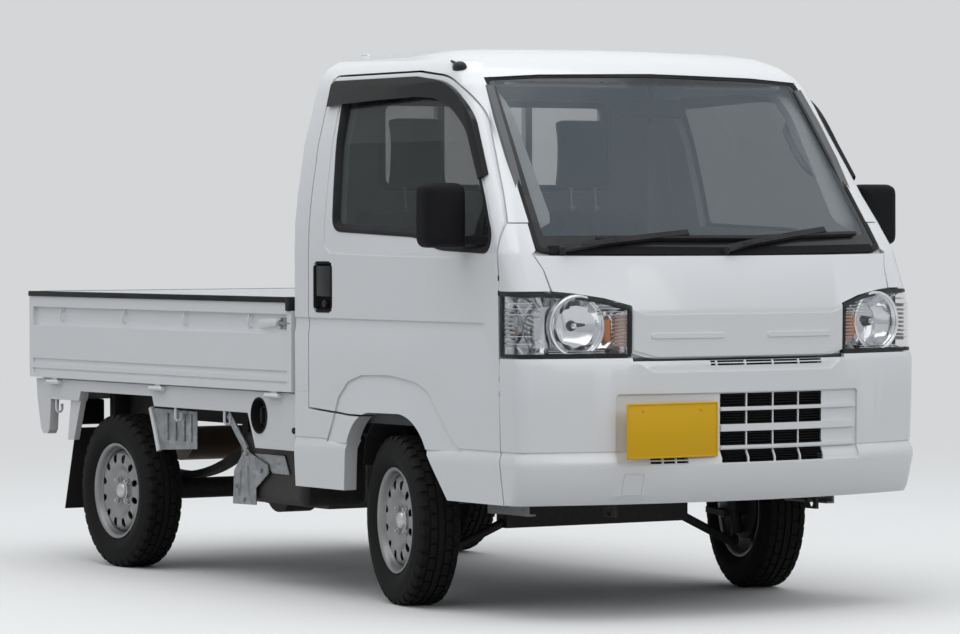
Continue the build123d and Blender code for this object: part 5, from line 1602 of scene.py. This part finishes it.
@dataclass
class DoorTrim(Sided):
    """A door's window seal, glass channel, pull handle and inner panel."""

    body: ClassVar[str] = "door_{side}_body"
    window: tuple = ((-405, 1560), (-352, 1175), (140, 1157), (281, 1118), (556, 1108), (560, 1150), (362, 1458),
                     (285, 1540), (150, 1592), (20, 1604), (-360, 1604), (-396, 1592))
    cup_x: tuple = (-470, -362)
    cup_z: tuple = (909, 1063)
    cup_floor: float = 714.5
    channel_x: float = 497.0

    def __post_init__(self) -> None:
        """Reads the door's sheet and glass."""
        self.skin = Surface("door_left")
        self.glass = Surface("door_glass_left")

    def build(self) -> None:
        """Builds the door's trim."""
        self.seal()
        self.handle()
        self.card()

    def seal(self) -> None:
        """Makes the window's rubber, its front channel and the black corner under the mirror."""
        line = spaced(rounded(self.window, 34), 40, closed=True)
        outer, _ = self.skin.laid(grown(line, 13), sign=1)
        inner, _ = self.glass.laid(grown(line, -12), sign=1)
        rows = []
        for out, proud in ((14, -0.6), (13, 2.2), (3, 3.2), (-2, 1.0)):
            rows.append([(p.x, skin_place.y + proud, p.y) for p, skin_place in zip(grown(line, out), outer)])
        for out, proud in ((-11, 3.0), (-12, -0.4)):
            rows.append([(p.x, glass_place.y + proud, p.y) for p, glass_place in zip(grown(line, out), inner)])
        form = Form()
        form.bands(rows)
        path, ups = self.glass.laid([(self.channel_x, z) for z in range(1118, 1259, 28)], sign=1)
        form.sweep(path, strip_section(22, 4, 2), ups)
        path, ups = self.glass.laid([(x, 1130) for x in range(440, 561, 24)], sign=1)
        form.sweep(path, strip_section(44, 3, 2), ups)
        self.finish(form, "window_seal", SEAL)

    def handle(self) -> None:
        """Makes the pull handle's cup, its lever and the lock."""
        line = oblong(self.cup_x, self.cup_z, 20)
        outer, _ = self.skin.laid(grown(line, 6), sign=1)
        rows = [[(p.x, here.y + proud, p.y) for p, here in zip(grown(line, out), outer)]
                for out, proud in ((5, -0.5), (4, 1.6), (0, 2.0), (-3, -1.0))]
        rows.append([(p.x, self.cup_floor + 3, p.y) for p in grown(line, -9)])
        rows.append([(p.x, self.cup_floor, p.y) for p in grown(line, -15)])
        cup = Form()
        cup.bands(rows, last_cap=True)
        self.finish(cup, "handle_cup", BLACK_PLASTIC)
        face = self.skin.flank(-480, 990, 1)[0].y
        lever = Form()
        low, high = self.cup_z[0] + 46, self.cup_z[1] - 9
        lever.box((self.cup_x[0] + 10, self.cup_x[1] - 9), (face - 9, face - 0.5), (low, high), 5, 3)
        lever.box((self.cup_x[0] + 24, self.cup_x[1] - 22), (self.cup_floor, face - 6), (high - 34, high - 6), 3)
        self.finish(lever, "handle_lever", GLOSS_BLACK)
        lock = Form()
        spot = Vector(((self.cup_x[0] + self.cup_x[1]) / 2, self.cup_floor, self.cup_z[0] + 24))
        lock.rod(spot, spot + Vector((0, 15, 0)), 13, 12, bevel=2, segments=28)
        lock.rod(spot + Vector((0, 14, 0)), spot + Vector((0, 16.5, 0)), 8, 7.5, bevel=0.6, segments=24)
        lock.box((spot.x - 0.8, spot.x + 0.8), (spot.y + 16, spot.y + 17.2), (spot.z - 5, spot.z + 5), 0.3)
        self.finish(lock, "door_lock", GLOSS_BLACK)

    def card(self) -> None:
        """Makes the door's inner panel with its armrest, pull and window winder."""
        form = Form()
        line = spaced(oblong((-395, 470), (560, 1085), 40), 60, closed=True)
        at = [self.skin.drop((p.x, 300, p.y), (0, 1, 0))[0].y for p in line]
        rows = [[(p.x, y + 1 - high, p.y) for p, y in zip(grown(line, out), at)]
                for out, high in ((0, 0), (-1, 7), (-5, 9))]
        form.bands(rows, last_cap=True)
        deep = min(at) - 9
        form.box((-300, 180), (deep - 46, deep + 3), (800, 838), 14, 3)
        form.box((-180, 40), (deep - 14, deep + 2), (640, 760), 6)
        self.finish(form, "door_card", DOOR_CARD)
        handle = Form()
        handle.rod((-40, deep + 2, 905), (-40, deep - 20, 905), 13, 11, bevel=2)
        handle.box((-52, -28), (deep - 26, deep - 16), (800, 912), 4)
        handle.rod((-40, deep - 18, 808), (-40, deep - 44, 808), 9, 10, bevel=3)
        handle.box((300, 372), (deep - 10, deep + 2), (930, 968), 4)
        self.finish(handle, "door_winder", BLACK_PLASTIC)


@dataclass
class DoorMirror(Sided):
    """A door mirror on its arm."""

    body: ClassVar[str] = "door_{side}_body"
    across: tuple = (739, 885)
    high: tuple = (1113, 1308)
    back_x: float = 405.6

    def build(self) -> None:
        """Builds the housing with its arm, and the glass."""
        line = oblong(self.across, self.high, 34, 5)
        depths = ((3.5, -10), (0.8, -7), (0, -3), (3, 0), (38, 0), (52, -4), (62, -12), (68, -26))
        shell = Form()
        shell.bands([[(self.back_x + x, p.x, p.y) for p in grown(line, out)] for x, out in depths],
                    first_cap=True, last_cap=True)
        shell.sweep([(446, 762, 1135), (470, 742, 1135), (520, 716, 1135), (566, 702, 1134), (596, 692, 1132)],
                    [(-9, -13), (9, -13), (12, -9), (12, 9), (9, 13), (-9, 13), (-12, 9), (-12, -9)])
        shell.box((540, 598), (686, 700), (1112, 1158), 6, 3)
        shell.rod((452, 760, 1116), (452, 760, 1150), 18, 16, bevel=3)
        self.finish(shell, "mirror_housing", BLACK_PLASTIC, replaces=[f"mirror_{self.side}"], smooth=40)
        glass = Form()
        glass.bands([[(self.back_x + x, p.x, p.y) for p in grown(line, out)] for x, out in
                     ((5.5, -9), (2.4, -9), (1.6, -11))], first_cap=True, last_cap=True)
        self.finish(glass, "mirror_glass", MIRROR_GLASS)


# The load bed

CAP_HEIGHT, CAP_WIDTH, CAP_PROUD = 17.0, 28, 1.2


@dataclass
class SideGate(Sided):
    """What a side gate carries: a cap strip, rope hooks and a latch."""

    body: ClassVar[str] = "side_gate_{side}_body"
    hook_x: tuple = (-2263, -1789, -1346, -898)
    hook_top: float = 889.0
    hook_low: float = 848.0

    def build(self) -> None:
        """Dresses the gate."""
        face = Surface("side_gate_left")
        self.cap()
        self.hooks(face)
        self.latch(face.flank(-760, 866, 1)[0].y)

    def cap(self) -> None:
        """Makes the strip along the gate's top and its front corner."""
        low, high = corners("side_gate_left")
        cap = Form()
        cap.box((low.x + 2, high.x - 2), (high.y - CAP_WIDTH, high.y + CAP_PROUD),
                (high.z - CAP_HEIGHT, high.z + CAP_PROUD), 3)
        cap.box((high.x - 26, high.x + 0.6), (high.y - 26, high.y + 3), (high.z - 44, high.z + 2), 3)
        self.finish(cap, "gate_cap", SEAL)

    def hooks(self, face: Surface) -> None:
        """Sets the rope hooks on the gate.

        Args:
            face: The gate's sheet.
        """
        hooks = Form()
        for x in self.hook_x:
            y = face.flank(x, self.hook_top, 1)[0].y
            hooks.box((x - 11, x + 11), (y - 1, y + 2.4), (self.hook_top - 12, self.hook_top + 8), 1.5)
            path = [(x, y - 1, self.hook_top), (x, y + 9, self.hook_top - 3), (x, y + 12, self.hook_top - 14),
                    (x, y + 12, self.hook_low + 8), (x, y + 8, self.hook_low), (x, y + 1, self.hook_low + 2)]
            hooks.sweep(path, round_section(3.4), (1, 0, 0))
        self.finish(hooks, "gate_hooks", WHITE)

    def latch(self, y: float) -> None:
        """Makes the latch's lever and catch.

        Args:
            y: The gate's face.
        """
        lever, catch = Form(), Form()
        lever.box((-838, -702), (y - 1, y + 3), (848, 882), 2)
        lever.plate([(-832, y + 3, 876), (-716, y + 3, 880), (-706, y + 3, 870), (-716, y + 3, 856),
                     (-800, y + 3, 852), (-834, y + 3, 862)], (0, 9, 0), 2.5)
        lever.rod((-716, y + 2, 868), (-716, y + 16, 868), 10, 9, bevel=2)
        self.finish(lever, "latch_lever", WHITE)
        catch.box((-700, -640), (y - 1, y + 4), (846, 884), 1.5)
        catch.rod((-694, y + 8, 866), (-622, y + 8, 866), 6, 6, bevel=1.5)
        for x in (-692, -652):
            catch.box((x - 5, x + 5), (y + 2, y + 15), (856, 876), 2)
        for x in (-690, -648):
            for z in (851, 880):
                catch.rod((x, y + 3, z), (x, y + 6.5, z), 4.5, 4, bevel=0.8, segments=6)
        self.finish(catch, "latch_catch", GALVANISED, slot="wheel_silver")


@dataclass
class TailGate:
    """What the tail gate carries: a cap strip and a latch at each end."""

    def build(self) -> None:
        """Dresses the tail gate."""
        low, high = corners("tail_gate")
        cap = Form()
        cap.box((low.x, low.x + CAP_WIDTH), (low.y + 3, high.y - 3), (high.z - CAP_HEIGHT, high.z + CAP_PROUD), 3)
        cap.piece("gate_cap_tail", SEAL, "tail_gate_body")
        lever, catch = Form(), Form()
        face = Surface("tail_gate")
        x = face.drop((low.x - 300, 640, 866), (1, 0, 0))[0].x
        outline = ((560, 852), (560, 880), (640, 882), (652, 868), (640, 852))
        lever.plate([(x + 1, y, z) for y, z in outline], (-8, 0, 0), 2.5)
        catch.box((x - 3, x + 1), (650, 700), (846, 884), 1.2)
        catch.rod((x - 4, 648, 866), (x - 4, 704, 866), 5, 5, bevel=1.2)
        for form in (lever, catch):
            form.mirror()
        lever.piece("latch_lever_tail", WHITE, "tail_gate_body")
        catch.piece("latch_catch_tail", GALVANISED, "tail_gate_body", slot="wheel_silver")


@dataclass
class BedFittings:
    """What shows under the bed and at its back: rope rods, brackets, filler, arch liners and tail lamps."""

    rods: tuple = (-2334, -1440, -1096)
    filler: tuple = (-852, 562)
    filler_size: tuple = (50, 56)

    def build(self) -> None:
        """Builds the fittings."""
        self.rope_rods()
        self.brackets()
        self.filler_cup()
        self.liners()
        self.tail_lamps()

    def rope_rods(self) -> None:
        """Hangs the rope rods under both side rails."""
        form = Form()
        face = Surface("bed_side_rails")
        for x in self.rods:
            y = face.flank(x, 590, 1)[0].y
            path = [(x, y - 6, 574), (x, y - 5, 550), (x, y - 5, 532), (x + 2, y - 10, 524), (x + 4, y - 20, 524),
                    (x + 4, y - 25, 532), (x + 4, y - 25, 552)]
            form.sweep(path, round_section(5.0), (1, 0, 0))
        form.mirror()
        form.piece("rope_rods", WHITE)

    def brackets(self) -> None:
        """Makes the stepped brackets between the bed, the frame and the cab."""
        ribbed, upright = Form(), Form()
        outline = [(-1678, 558), (-1621, 417), (-1352, 430), (-1350, 556)]
        ribbed.plate([(x, -680, z) for x, z in outline], (0, -3, 0), 0.8)
        for x in (-1560, -1500, -1440, -1390):
            ribbed.box((x - 7, x + 7), (-689, -682), (452, 545), 3, 2)
        ribbed.piece("ribbed_bracket", GALVANISED)
        edge = Form()
        edge.sweep([(-1680, -682, 560), (-1650, -682, 490), (-1621, -682, 414)], bar_section(9, 7), (0, 1, 0))
        edge.piece("bracket_edge", WHITE)
        outline = [(-1012, 452), (-1093, 371), (-1102, 260), (-946, 263), (-946, 318), (-861, 371), (-867, 398),
                   (-990, 434)]
        upright.plate([(x, -684, z) for x, z in outline], (0, 5, 0), 1.2)
        upright.sweep([(-1140, -676, 556), (-1078, -679, 501), (-1008, -682, 443)], bar_section(14, 3), (0, 1, 0))
        for x, z in ((-1070, 320), (-1022, 278), (-905, 378), (-1000, 430)):
            upright.rod((x, -683, z), (x, -692, z), 8, 7, bevel=1.5, segments=6)
        for (x, z), (end_x, end_z) in (((-1050, 372), (-1062, 290)), ((-1000, 390), (-990, 290))):
            upright.sweep([(x, -684, z), ((x + end_x) / 2, -684, (z + end_z) / 2), (end_x, -684, end_z)],
                          bar_section(6, 2, 3, 4), (0, -1, 0))
        upright.plate([(x, -676, z) for x, z in ((-968, 432), (-767, 432), (-735, 371), (-845, 372))], (0, 4, 0), 1.0)
        upright.piece("spare_bracket", GALVANISED)
        sill = Form()
        sill.sweep([(312, -560, 312), (420, -560, 314), (540, -560, 314)],
                   [(-14, -13), (14, -13), (14, 16), (8, 16), (8, -7), (-14, -7)])
        for x in (350, 430, 510):
            sill.rod((x, -568, 318), (x, -576, 318), 7, 6, bevel=1.2, segments=6)
        sill.mirror()
        sill.piece("sill_bracket", BRACKET_GREY)

    def filler_cup(self) -> None:
        """Sets the fuel filler's dark cup and cap in the right rail."""
        x, z = self.filler
        wide, tall = self.filler_size
        ring = [(math.cos(math.tau * n / 40), math.sin(math.tau * n / 40)) for n in range(40)]
        cup = Form()
        rows = [[(x + c * (wide + out), y, z + s * (tall + out)) for c, s in ring]
                for out, y in ((4, -722.3), (3.5, -725), (-1, -725), (-3, -720), (-6, -690), (-9, -686))]
        cup.bands(rows, last_cap=True)
        cup.piece("filler_cup", BLACK_PLASTIC)
        cap = Form()
        spot = Vector((x, -688, z))
        cap.rod(spot, spot - Vector((0, 16, 0)), 33, 31, bevel=4, segments=40)
        cap.box((x - 5, x + 5), (-716, -702), (z - 26, z + 26), 3)
        for number in range(18):
            turn = math.tau * number / 18
            ridge = Vector((x + math.cos(turn) * 32, -696, z + math.sin(turn) * 32))
            cap.box((ridge.x - 2, ridge.x + 2), (-702, -690), (ridge.z - 2, ridge.z + 2), 0.8)
        cap.piece("filler_cap", SEAL)
        button = Form()
        button.rod((-609, -728, 521), (-609, -734, 521), 11, 10, bevel=2, segments=24)
        button.piece("hole_cap", SEAL)

    def liners(self) -> None:
        """Lines the front wheel arches with folded sheets."""
        front = [(-258, 425), (-246, 505), (-205, 556), (-120, 582), (0, 588), (90, 580), (160, 545), (206, 502),
                 (250, 435)]
        liner = Form()
        rows = [[(x * grow, y, z + lift) for x, z in front]
                for y, grow, lift in ((676, 1, 0), (540, 1, 0), (540, 1.02, 5), (676, 1.02, 5), (676, 1, 0))]
        liner.bands(rows, closed=False)
        liner.mirror()
        liner.piece("arch_liners", FLAP_RUBBER)

    def tail_lamps(self) -> None:
        """Makes both tail lamps from a housing and three lenses."""
        housing = Form()
        housing.box((-2478, -2441), (470, 590), (470, 560), 6, 3)
        housing.mirror()
        housing.piece("tail_lamp_housings", BLACK_PLASTIC, replaces=["tail_lamps"])
        for name, finish, across in (("red", RED, (532, 586)), ("amber", AMBER, (503, 530)),
                                     ("clear", CLEAR_RIBBED, (474, 501))):
            lens = Form()
            lens.box((-2484, -2470), across, (476, 554), 3, 3)
            for number in range(6):
                z = 484 + number * 12.5
                lens.box((-2484, -2482), (across[0] + 3, across[1] - 3), (z, z + 4), 0.8)
            lens.mirror()
            lens.piece(f"tail_lens_{name}", finish, slot="lamp_red")


# The cabin

@dataclass
class Seats:
    """Both seats, padded as cloth over their frames, with seams and channels."""

    middle_y: float = 332.5
    width: float = 484.0
    head_y: float = 322.0
    head_width: float = 217.0
    voxel: float = 9.0
    most: float = 9.0
    cushion: tuple = ((-28, 660), (-8, 790), (-62, 822), (-415, 792), (-472, 660))
    back: tuple = ((-408, 798), (-378, 862), (-476, 1234), (-538, 1234), (-528, 768))
    head: tuple = ((-481, 1296), (-506, 1539), (-540, 1539), (-540, 1296))
    channel_depth: float = 5.0
    cushion_channels: tuple = (165, -105)
    back_channels: tuple = (150, 900, 1130)
    head_seam: float = 84

    def pad(self, outline: Sequence[tuple], width: float, grooves: Callable, ease: float) -> Form:
        """Makes one pad about the truck's middle plane.

        Args:
            outline: Its X and Z places.
            width: Its width.
            grooves: Gives a channel's depth at a place.
            ease: How round its edges are.

        Returns:
            The pad.
        """
        form = Form()
        form.plate([(x, -width / 2, z) for x, z in outline], (0, width, 0), ease, 4)
        swollen(form, self.voxel, self.most)
        bmesh.ops.smooth_vert(form.bm, verts=form.bm.verts[:], factor=0.5, use_axis_x=True, use_axis_y=True,
                              use_axis_z=True)
        form.bm.normal_update()
        for vert, normal in [(v, v.normal.copy()) for v in form.bm.verts]:
            vert.co -= normal * grooves(vert.co)
        return form

    def build(self) -> None:
        """Builds each pad once and sets a copy on each side."""
        def line(value: float, place: float, wide: float = 7.0) -> float:
            """How near a value is to a channel, from 0 to 1."""
            return math.exp(-((value - place) / wide) ** 2)

        def cushion(at: Vector) -> float:
            """The cushion's channels."""
            side, cross = self.cushion_channels
            edge = line(abs(at.y), side) + line(at.x, cross) * (abs(at.y) < side)
            return self.channel_depth * min(1.0, edge) * (at.z > 770)

        def back(at: Vector) -> float:
            """The back's channels."""
            side, low, high = self.back_channels
            edge = line(abs(at.y), side) + (line(at.z, low) + line(at.z, high)) * (abs(at.y) < side)
            return self.channel_depth * min(1.0, edge) * (at.x > -505 + (1234 - at.z) * 0.15)

        def head(at: Vector) -> float:
            """The headrest's seam."""
            return self.channel_depth / 2 * line(abs(at.y), self.head_seam, 5.0)

        for name, outline, width, grooves, middle, ease, fill in (
                ("cushion", self.cushion, self.width - 14, cushion, self.middle_y, 30, 0.7),
                ("backrest", self.back, self.width - 24, back, self.middle_y, 30, 0.7),
                ("headrest", self.head, self.head_width - 12, head, self.head_y, 26, 0.8)):
            made = self.pad(outline, width, grooves, ease)
            mesh = bpy.data.meshes.new("pad_copy")
            made.bm.to_mesh(mesh)
            for side, sign in SIDES:
                copy = Form()
                copy.bm.from_mesh(mesh)
                bmesh.ops.translate(copy.bm, vec=(0, middle * sign, 0), verts=copy.bm.verts[:])
                node = "driver_seat" if side == "right" else "passenger_seat"
                piece = copy.piece(f"seat_{name}_{side}", SEAT_CLOTH,
                                   replaces=[node] if name == "cushion" else [], smooth=80, subdivide=1)
        self.frames()

    def frames(self) -> None:
        """Makes the seats' plain sides, bases and headrest posts."""
        sides, posts = Form(), Form()
        for edge in (self.middle_y - self.width / 2 + 9, self.middle_y + self.width / 2 - 9):
            sides.plate([(x, edge - 2, z) for x, z in ((-470, 652), (-30, 652), (-26, 700), (-440, 716))],
                        (0, 4, 0), 1.5)
            sides.rod((-452, edge - 9, 760), (-452, edge + 9, 760), 26, 24, bevel=4, segments=24)
        for y in (self.head_y - 48, self.head_y + 48):
            posts.rod((-509, y, 1205), (-515, y, 1330), 6, 6, segments=14)
            posts.rod((-508, y, 1232), (-508.5, y, 1246), 13, 12, bevel=2)
        sides.mirror()
        posts.mirror()
        sides.piece("seat_sides", SEAT_SIDE)
        posts.piece("headrest_posts", BRIGHT_STEEL)


@dataclass
class Cabin:
    """Dashboard fittings, steering wheel, liners, visors and the handles."""

    wheel_radius: float = 184.0
    grip: float = 13.0

    def build(self) -> None:
        """Builds the cabin's parts."""
        self.dash()
        self.steering()
        self.roof_liner()
        self.back_trim()
        self.pillars()
        self.visors()

    def dash(self) -> None:
        """Makes the instrument hood, vents, panel lines and switches."""
        face = Surface("dashboard")
        hood, dark, bright = Form(), Form(), Form()
        arch = [(410, 1078), (430, 1112), (480, 1128), (560, 1126), (610, 1092)]
        rows = []
        for y, grow in ((-488, 0.0), (-478, 0.75), (-450, 1.0), (-210, 1.0), (-182, 0.75), (-172, 0.0)):
            rows.append([(x, y, 1076 + (z - 1076) * grow) for x, z in arch])
        hood.bands(rows, closed=False)
        hood.box((396, 420), (-450, -210), (1010, 1074), 8, 3)
        hood.box((352, 372), (60, 560), (880, 1000), 10, 3)
        for y in (-560, -60, 60, 560):
            x = face.drop((100, y, 1040), (1, 0, 0))[0].x
            dark.box((x - 7, x + 4), (y - 52, y + 52), (1018, 1060), 6, 3)
            for number in range(4):
                bright.box((x - 9, x - 6), (y - 46, y + 46), (1024 + number * 9.5, 1026.4 + number * 9.5), 0.6)
        for y in (-470, -150, 150, 470):
            top = face.drop((690, y, 1300), (0, 0, -1))[0].z
            for number in range(9):
                dark.box((664 + number * 4.6, 666 + number * 4.6), (y - 90, y + 90), (top - 1, top + 1.6), 0.5)
        x = face.drop((100, 0, 960), (1, 0, 0))[0].x
        dark.box((x - 8, x + 4), (-92, 92), (930, 1000), 5, 3)
        for y in (-60, 0, 60):
            dark.rod((x - 4, y, 905), (x - 24, y, 905), 17, 15, bevel=3, segments=24)
        hood.piece("dash_hood", CABIN_GREY)
        dark.piece("dash_vents", BLACK_PLASTIC)
        bright.piece("vent_blades", VISOR_GREY)

    def steering(self) -> None:
        """Makes the steering wheel on its own joint."""
        axis = Vector(joint_of("steering_wheel_turn")["axis"]).normalized()
        axis = axis if axis.z > 0 else -axis
        low, high = corners("steering_wheel")
        middle = (low + high) / 2
        side = Vector((0, 1, 0))
        place = standing(middle, side, axis.cross(side), axis)
        wheel = Form()
        section = [(self.wheel_radius - self.grip + self.grip * math.cos(a), self.grip * math.sin(a) + 8)
                   for a in [math.tau * n / 14 for n in range(15)]]
        wheel.lathe(section, place, 72)
        for angle, wide in ((0, 26), (math.pi, 26), (-math.pi / 2, 34)):
            way = Vector((math.cos(angle), math.sin(angle), 0))
            over = Vector((-way.y, way.x, 0))
            path = [place @ (way * r + Vector((0, 0, z))) for r, z in ((40, -8), (90, 0), (162, 8))]
            wheel.sweep(path, bar_section(wide / 2, 4, wide / 2 - 3, 5), axis)
        pad = [(0, 8), (40, 6), (62, 1), (70, -8), (66, -20), (40, -30), (0, -32)]
        wheel.lathe(pad, place, 40)
        wheel.piece("steering_wheel_rim", BLACK_PLASTIC, "steering_wheel_body", replaces=["steering_wheel"],
                    smooth=50)
        stalks = Form()
        base = middle - axis * 60
        for way in (-1, 1):
            stalks.rod(base + Vector((0, way * 30, 0)), base + Vector((-30, way * 165, 26)), 6, 8, bevel=2)
        stalks.piece("column_stalks", BLACK_PLASTIC)

    def roof_liner(self) -> None:
        """Stretches a liner under the roof, with a lamp in its middle."""
        roof = Surface("cab_roof", "cab_sides", "cab_back")
        form = Form()
        made = bmesh.ops.create_grid(form.bm, x_segments=14, y_segments=16, size=1.0)["verts"]
        for vert in made:
            x, y = -85 + vert.co.x * 375, vert.co.y * 540
            place = roof.drop((x, y, 1450), (0, 0, 1))[0]
            vert.co = Vector((x, y, min(place.z - 9, 1712)))
        bottom = bmesh.ops.extrude_face_region(form.bm, geom=form.bm.faces[:])["geom"]
        bmesh.ops.translate(form.bm, vec=(0, 0, -6), verts=verts_in(bottom))
        form.piece("roof_liner", LINER_GREY_AND_GLARE, smooth=60)
        lamp = Form()
        z = roof.drop((60, 0, 1450), (0, 0, 1))[0].z - 15
        lamp.box((20, 110), (-42, 42), (z - 16, z), 8, 3)
        lamp.piece("cabin_lamp", CLEAR_RIBBED)

    def back_trim(self) -> None:
        """Lines the cabin's back wall and frames its window."""
        wall = Surface("cab_back", "cab_sides", "cab_roof")
        window = spaced(oblong((-431, 431), (1305, 1578), 34), 60, closed=True)
        trim, seal = Form(), Form()
        outer = [(max(-600, min(600, p.x * 1.42)), min(1648, 1441 + (p.y - 1441) * (1.5 if p.y > 1441 else 4.6)))
                 for p in window]
        rows = []
        for line, in_by in ((grown(window, 16), 2), (grown(window, 18), 9), (outer, 9), (outer, 3)):
            rows.append([wall.drop((-300, p[0], p[1]), (-1, 0, 0))[0] + Vector((in_by, 0, 0)) for p in line])
        trim.bands(rows)
        # The trim's light grey is partly painted reflection: it stands for the windscreen's glare over the back wall.
        trim.piece("back_wall_trim", LINER_GREY_AND_GLARE, smooth=50)
        middle = wall.drop((-300, 0, 1290), (-1, 0, 0))[0]
        path = [Vector((middle.x - 4, p.x, p.y)) for p in grown(window, 2)]
        seal.sweep(path, bar_section(11, 9), (1, 0, 0), closed=True)
        seal.piece("rear_window_seal", SEAL)

    def pillars(self) -> None:
        """Covers the windscreen pillars inside, and hangs the grab handle."""
        form, handle = Form(), Form()
        line = [(640, 628, 1115), (566, 616, 1250), (488, 606, 1380), (404, 594, 1500), (330, 580, 1600)]
        form.sweep(line, [(-12, -16), (12, -16), (16, 0), (12, 14), (-12, 14), (-16, 0)], (1, 0, 0.4))
        form.mirror()
        form.piece("pillar_trim", DOOR_CARD)
        path = [(322, 556, 1500), (330, 540, 1478), (380, 534, 1420), (430, 534, 1372), (452, 540, 1352),
                (462, 556, 1342)]
        handle.sweep(path, round_section(11, 12), (0, 1, 0))
        for spot in (path[0], path[-1]):
            handle.rod(spot, (spot[0], spot[1] + 22, spot[2]), 16, 18, bevel=3)
        handle.piece("grab_handle", HANDLE_GREY)

    def visors(self) -> None:
        """Makes the sun visors and the inner mirror."""
        visors, mirror, glass = Form(), Form(), Form()
        for y in (-330, 330):
            visors.box((170, 330), (y - 190, y + 190), (1612, 1630), 8, 3,
                       Matrix.Rotation(math.radians(6), 4, "Y"))
            visors.rod((322, y - 170, 1612), (322, y + 170, 1612), 5, 5)
        visors.piece("sun_visors", VISOR_GREY)
        mirror.box((352, 372), (-112, 112), (1512, 1572), 9, 3, Matrix.Rotation(math.radians(-8), 4, "Y"))
        mirror.rod((364, 0, 1560), (362, 0, 1622), 8, 12, bevel=2)
        mirror.piece("inner_mirror", BLACK_PLASTIC)
        glass.box((349, 353), (-106, 106), (1517, 1567), 1.5, 2, Matrix.Rotation(math.radians(-8), 4, "Y"))
        glass.piece("inner_mirror_glass", MIRROR_GLASS)


@dataclass
class RoofFittings:
    """The aerial's base at the right front pillar and the small hook at the roof's back."""

    aerial: tuple = (228, -619, 2000)
    hook_y: float = -505
    hook_ends: tuple = (-506, -558)
    hook_rise: float = 14
    highest: float = 1731

    def build(self) -> None:
        """Builds both."""
        roof = Surface("cab_roof", "cab_sides")
        spot, normal = roof.drop(self.aerial, (0, 0, -1))
        base = Form()
        turn = normal.to_track_quat("Z", "Y").to_matrix().to_4x4()
        base.lathe([(0, 17), (8, 16), (14, 12), (18, 5), (19, 0), (19, -4)], Matrix.Translation(spot) @ turn, 32)
        bmesh.ops.scale(base.bm, vec=(1.6, 1.0, 1.0), verts=base.bm.verts[:],
                        space=Matrix.Translation(-spot))
        base.rod(spot + normal * 8, spot + normal * 12 + Vector((-50, 6, 10)), 6, 4, bevel=1)
        base.piece("aerial_base", GLOSS_BLACK)
        hook = Form()
        first, last = (roof.drop((x, self.hook_y, 2000), (0, 0, -1))[0] for x in self.hook_ends)
        top = min(first.z + self.hook_rise, self.highest)
        path = [(first.x, first.y, first.z - 3), (first.x - 4, first.y, top - 3), (first.x - 12, first.y, top),
                (last.x + 12, last.y, top), (last.x + 4, last.y, top - 3), (last.x, last.y, last.z - 3)]
        hook.sweep(path, round_section(3.0), (0, 1, 0))
        hook.piece("roof_hook", WHITE)


def main() -> None:
    """Builds the truck's looks in order."""
    logging.basicConfig(level=logging.INFO, format="%(name)s: %(message)s")
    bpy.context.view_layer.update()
    Studio().build()
    Carried().build()
    Panels().build()
    for end in ("front", "rear"):
        for side, sign in SIDES:
            Wheel(end, side, sign).build()
    for side, sign in SIDES:
        Headlamp(side, sign).build()
    Front().build()
    for side, sign in SIDES:
        DoorTrim(side, sign).build()
        DoorMirror(side, sign).build()
    for side, sign in SIDES:
        SideGate(side, sign).build()
    for part in (TailGate(), BedFittings(), Seats(), Cabin(), RoofFittings()):
        part.build()


if __name__ == "__main__":
    main()
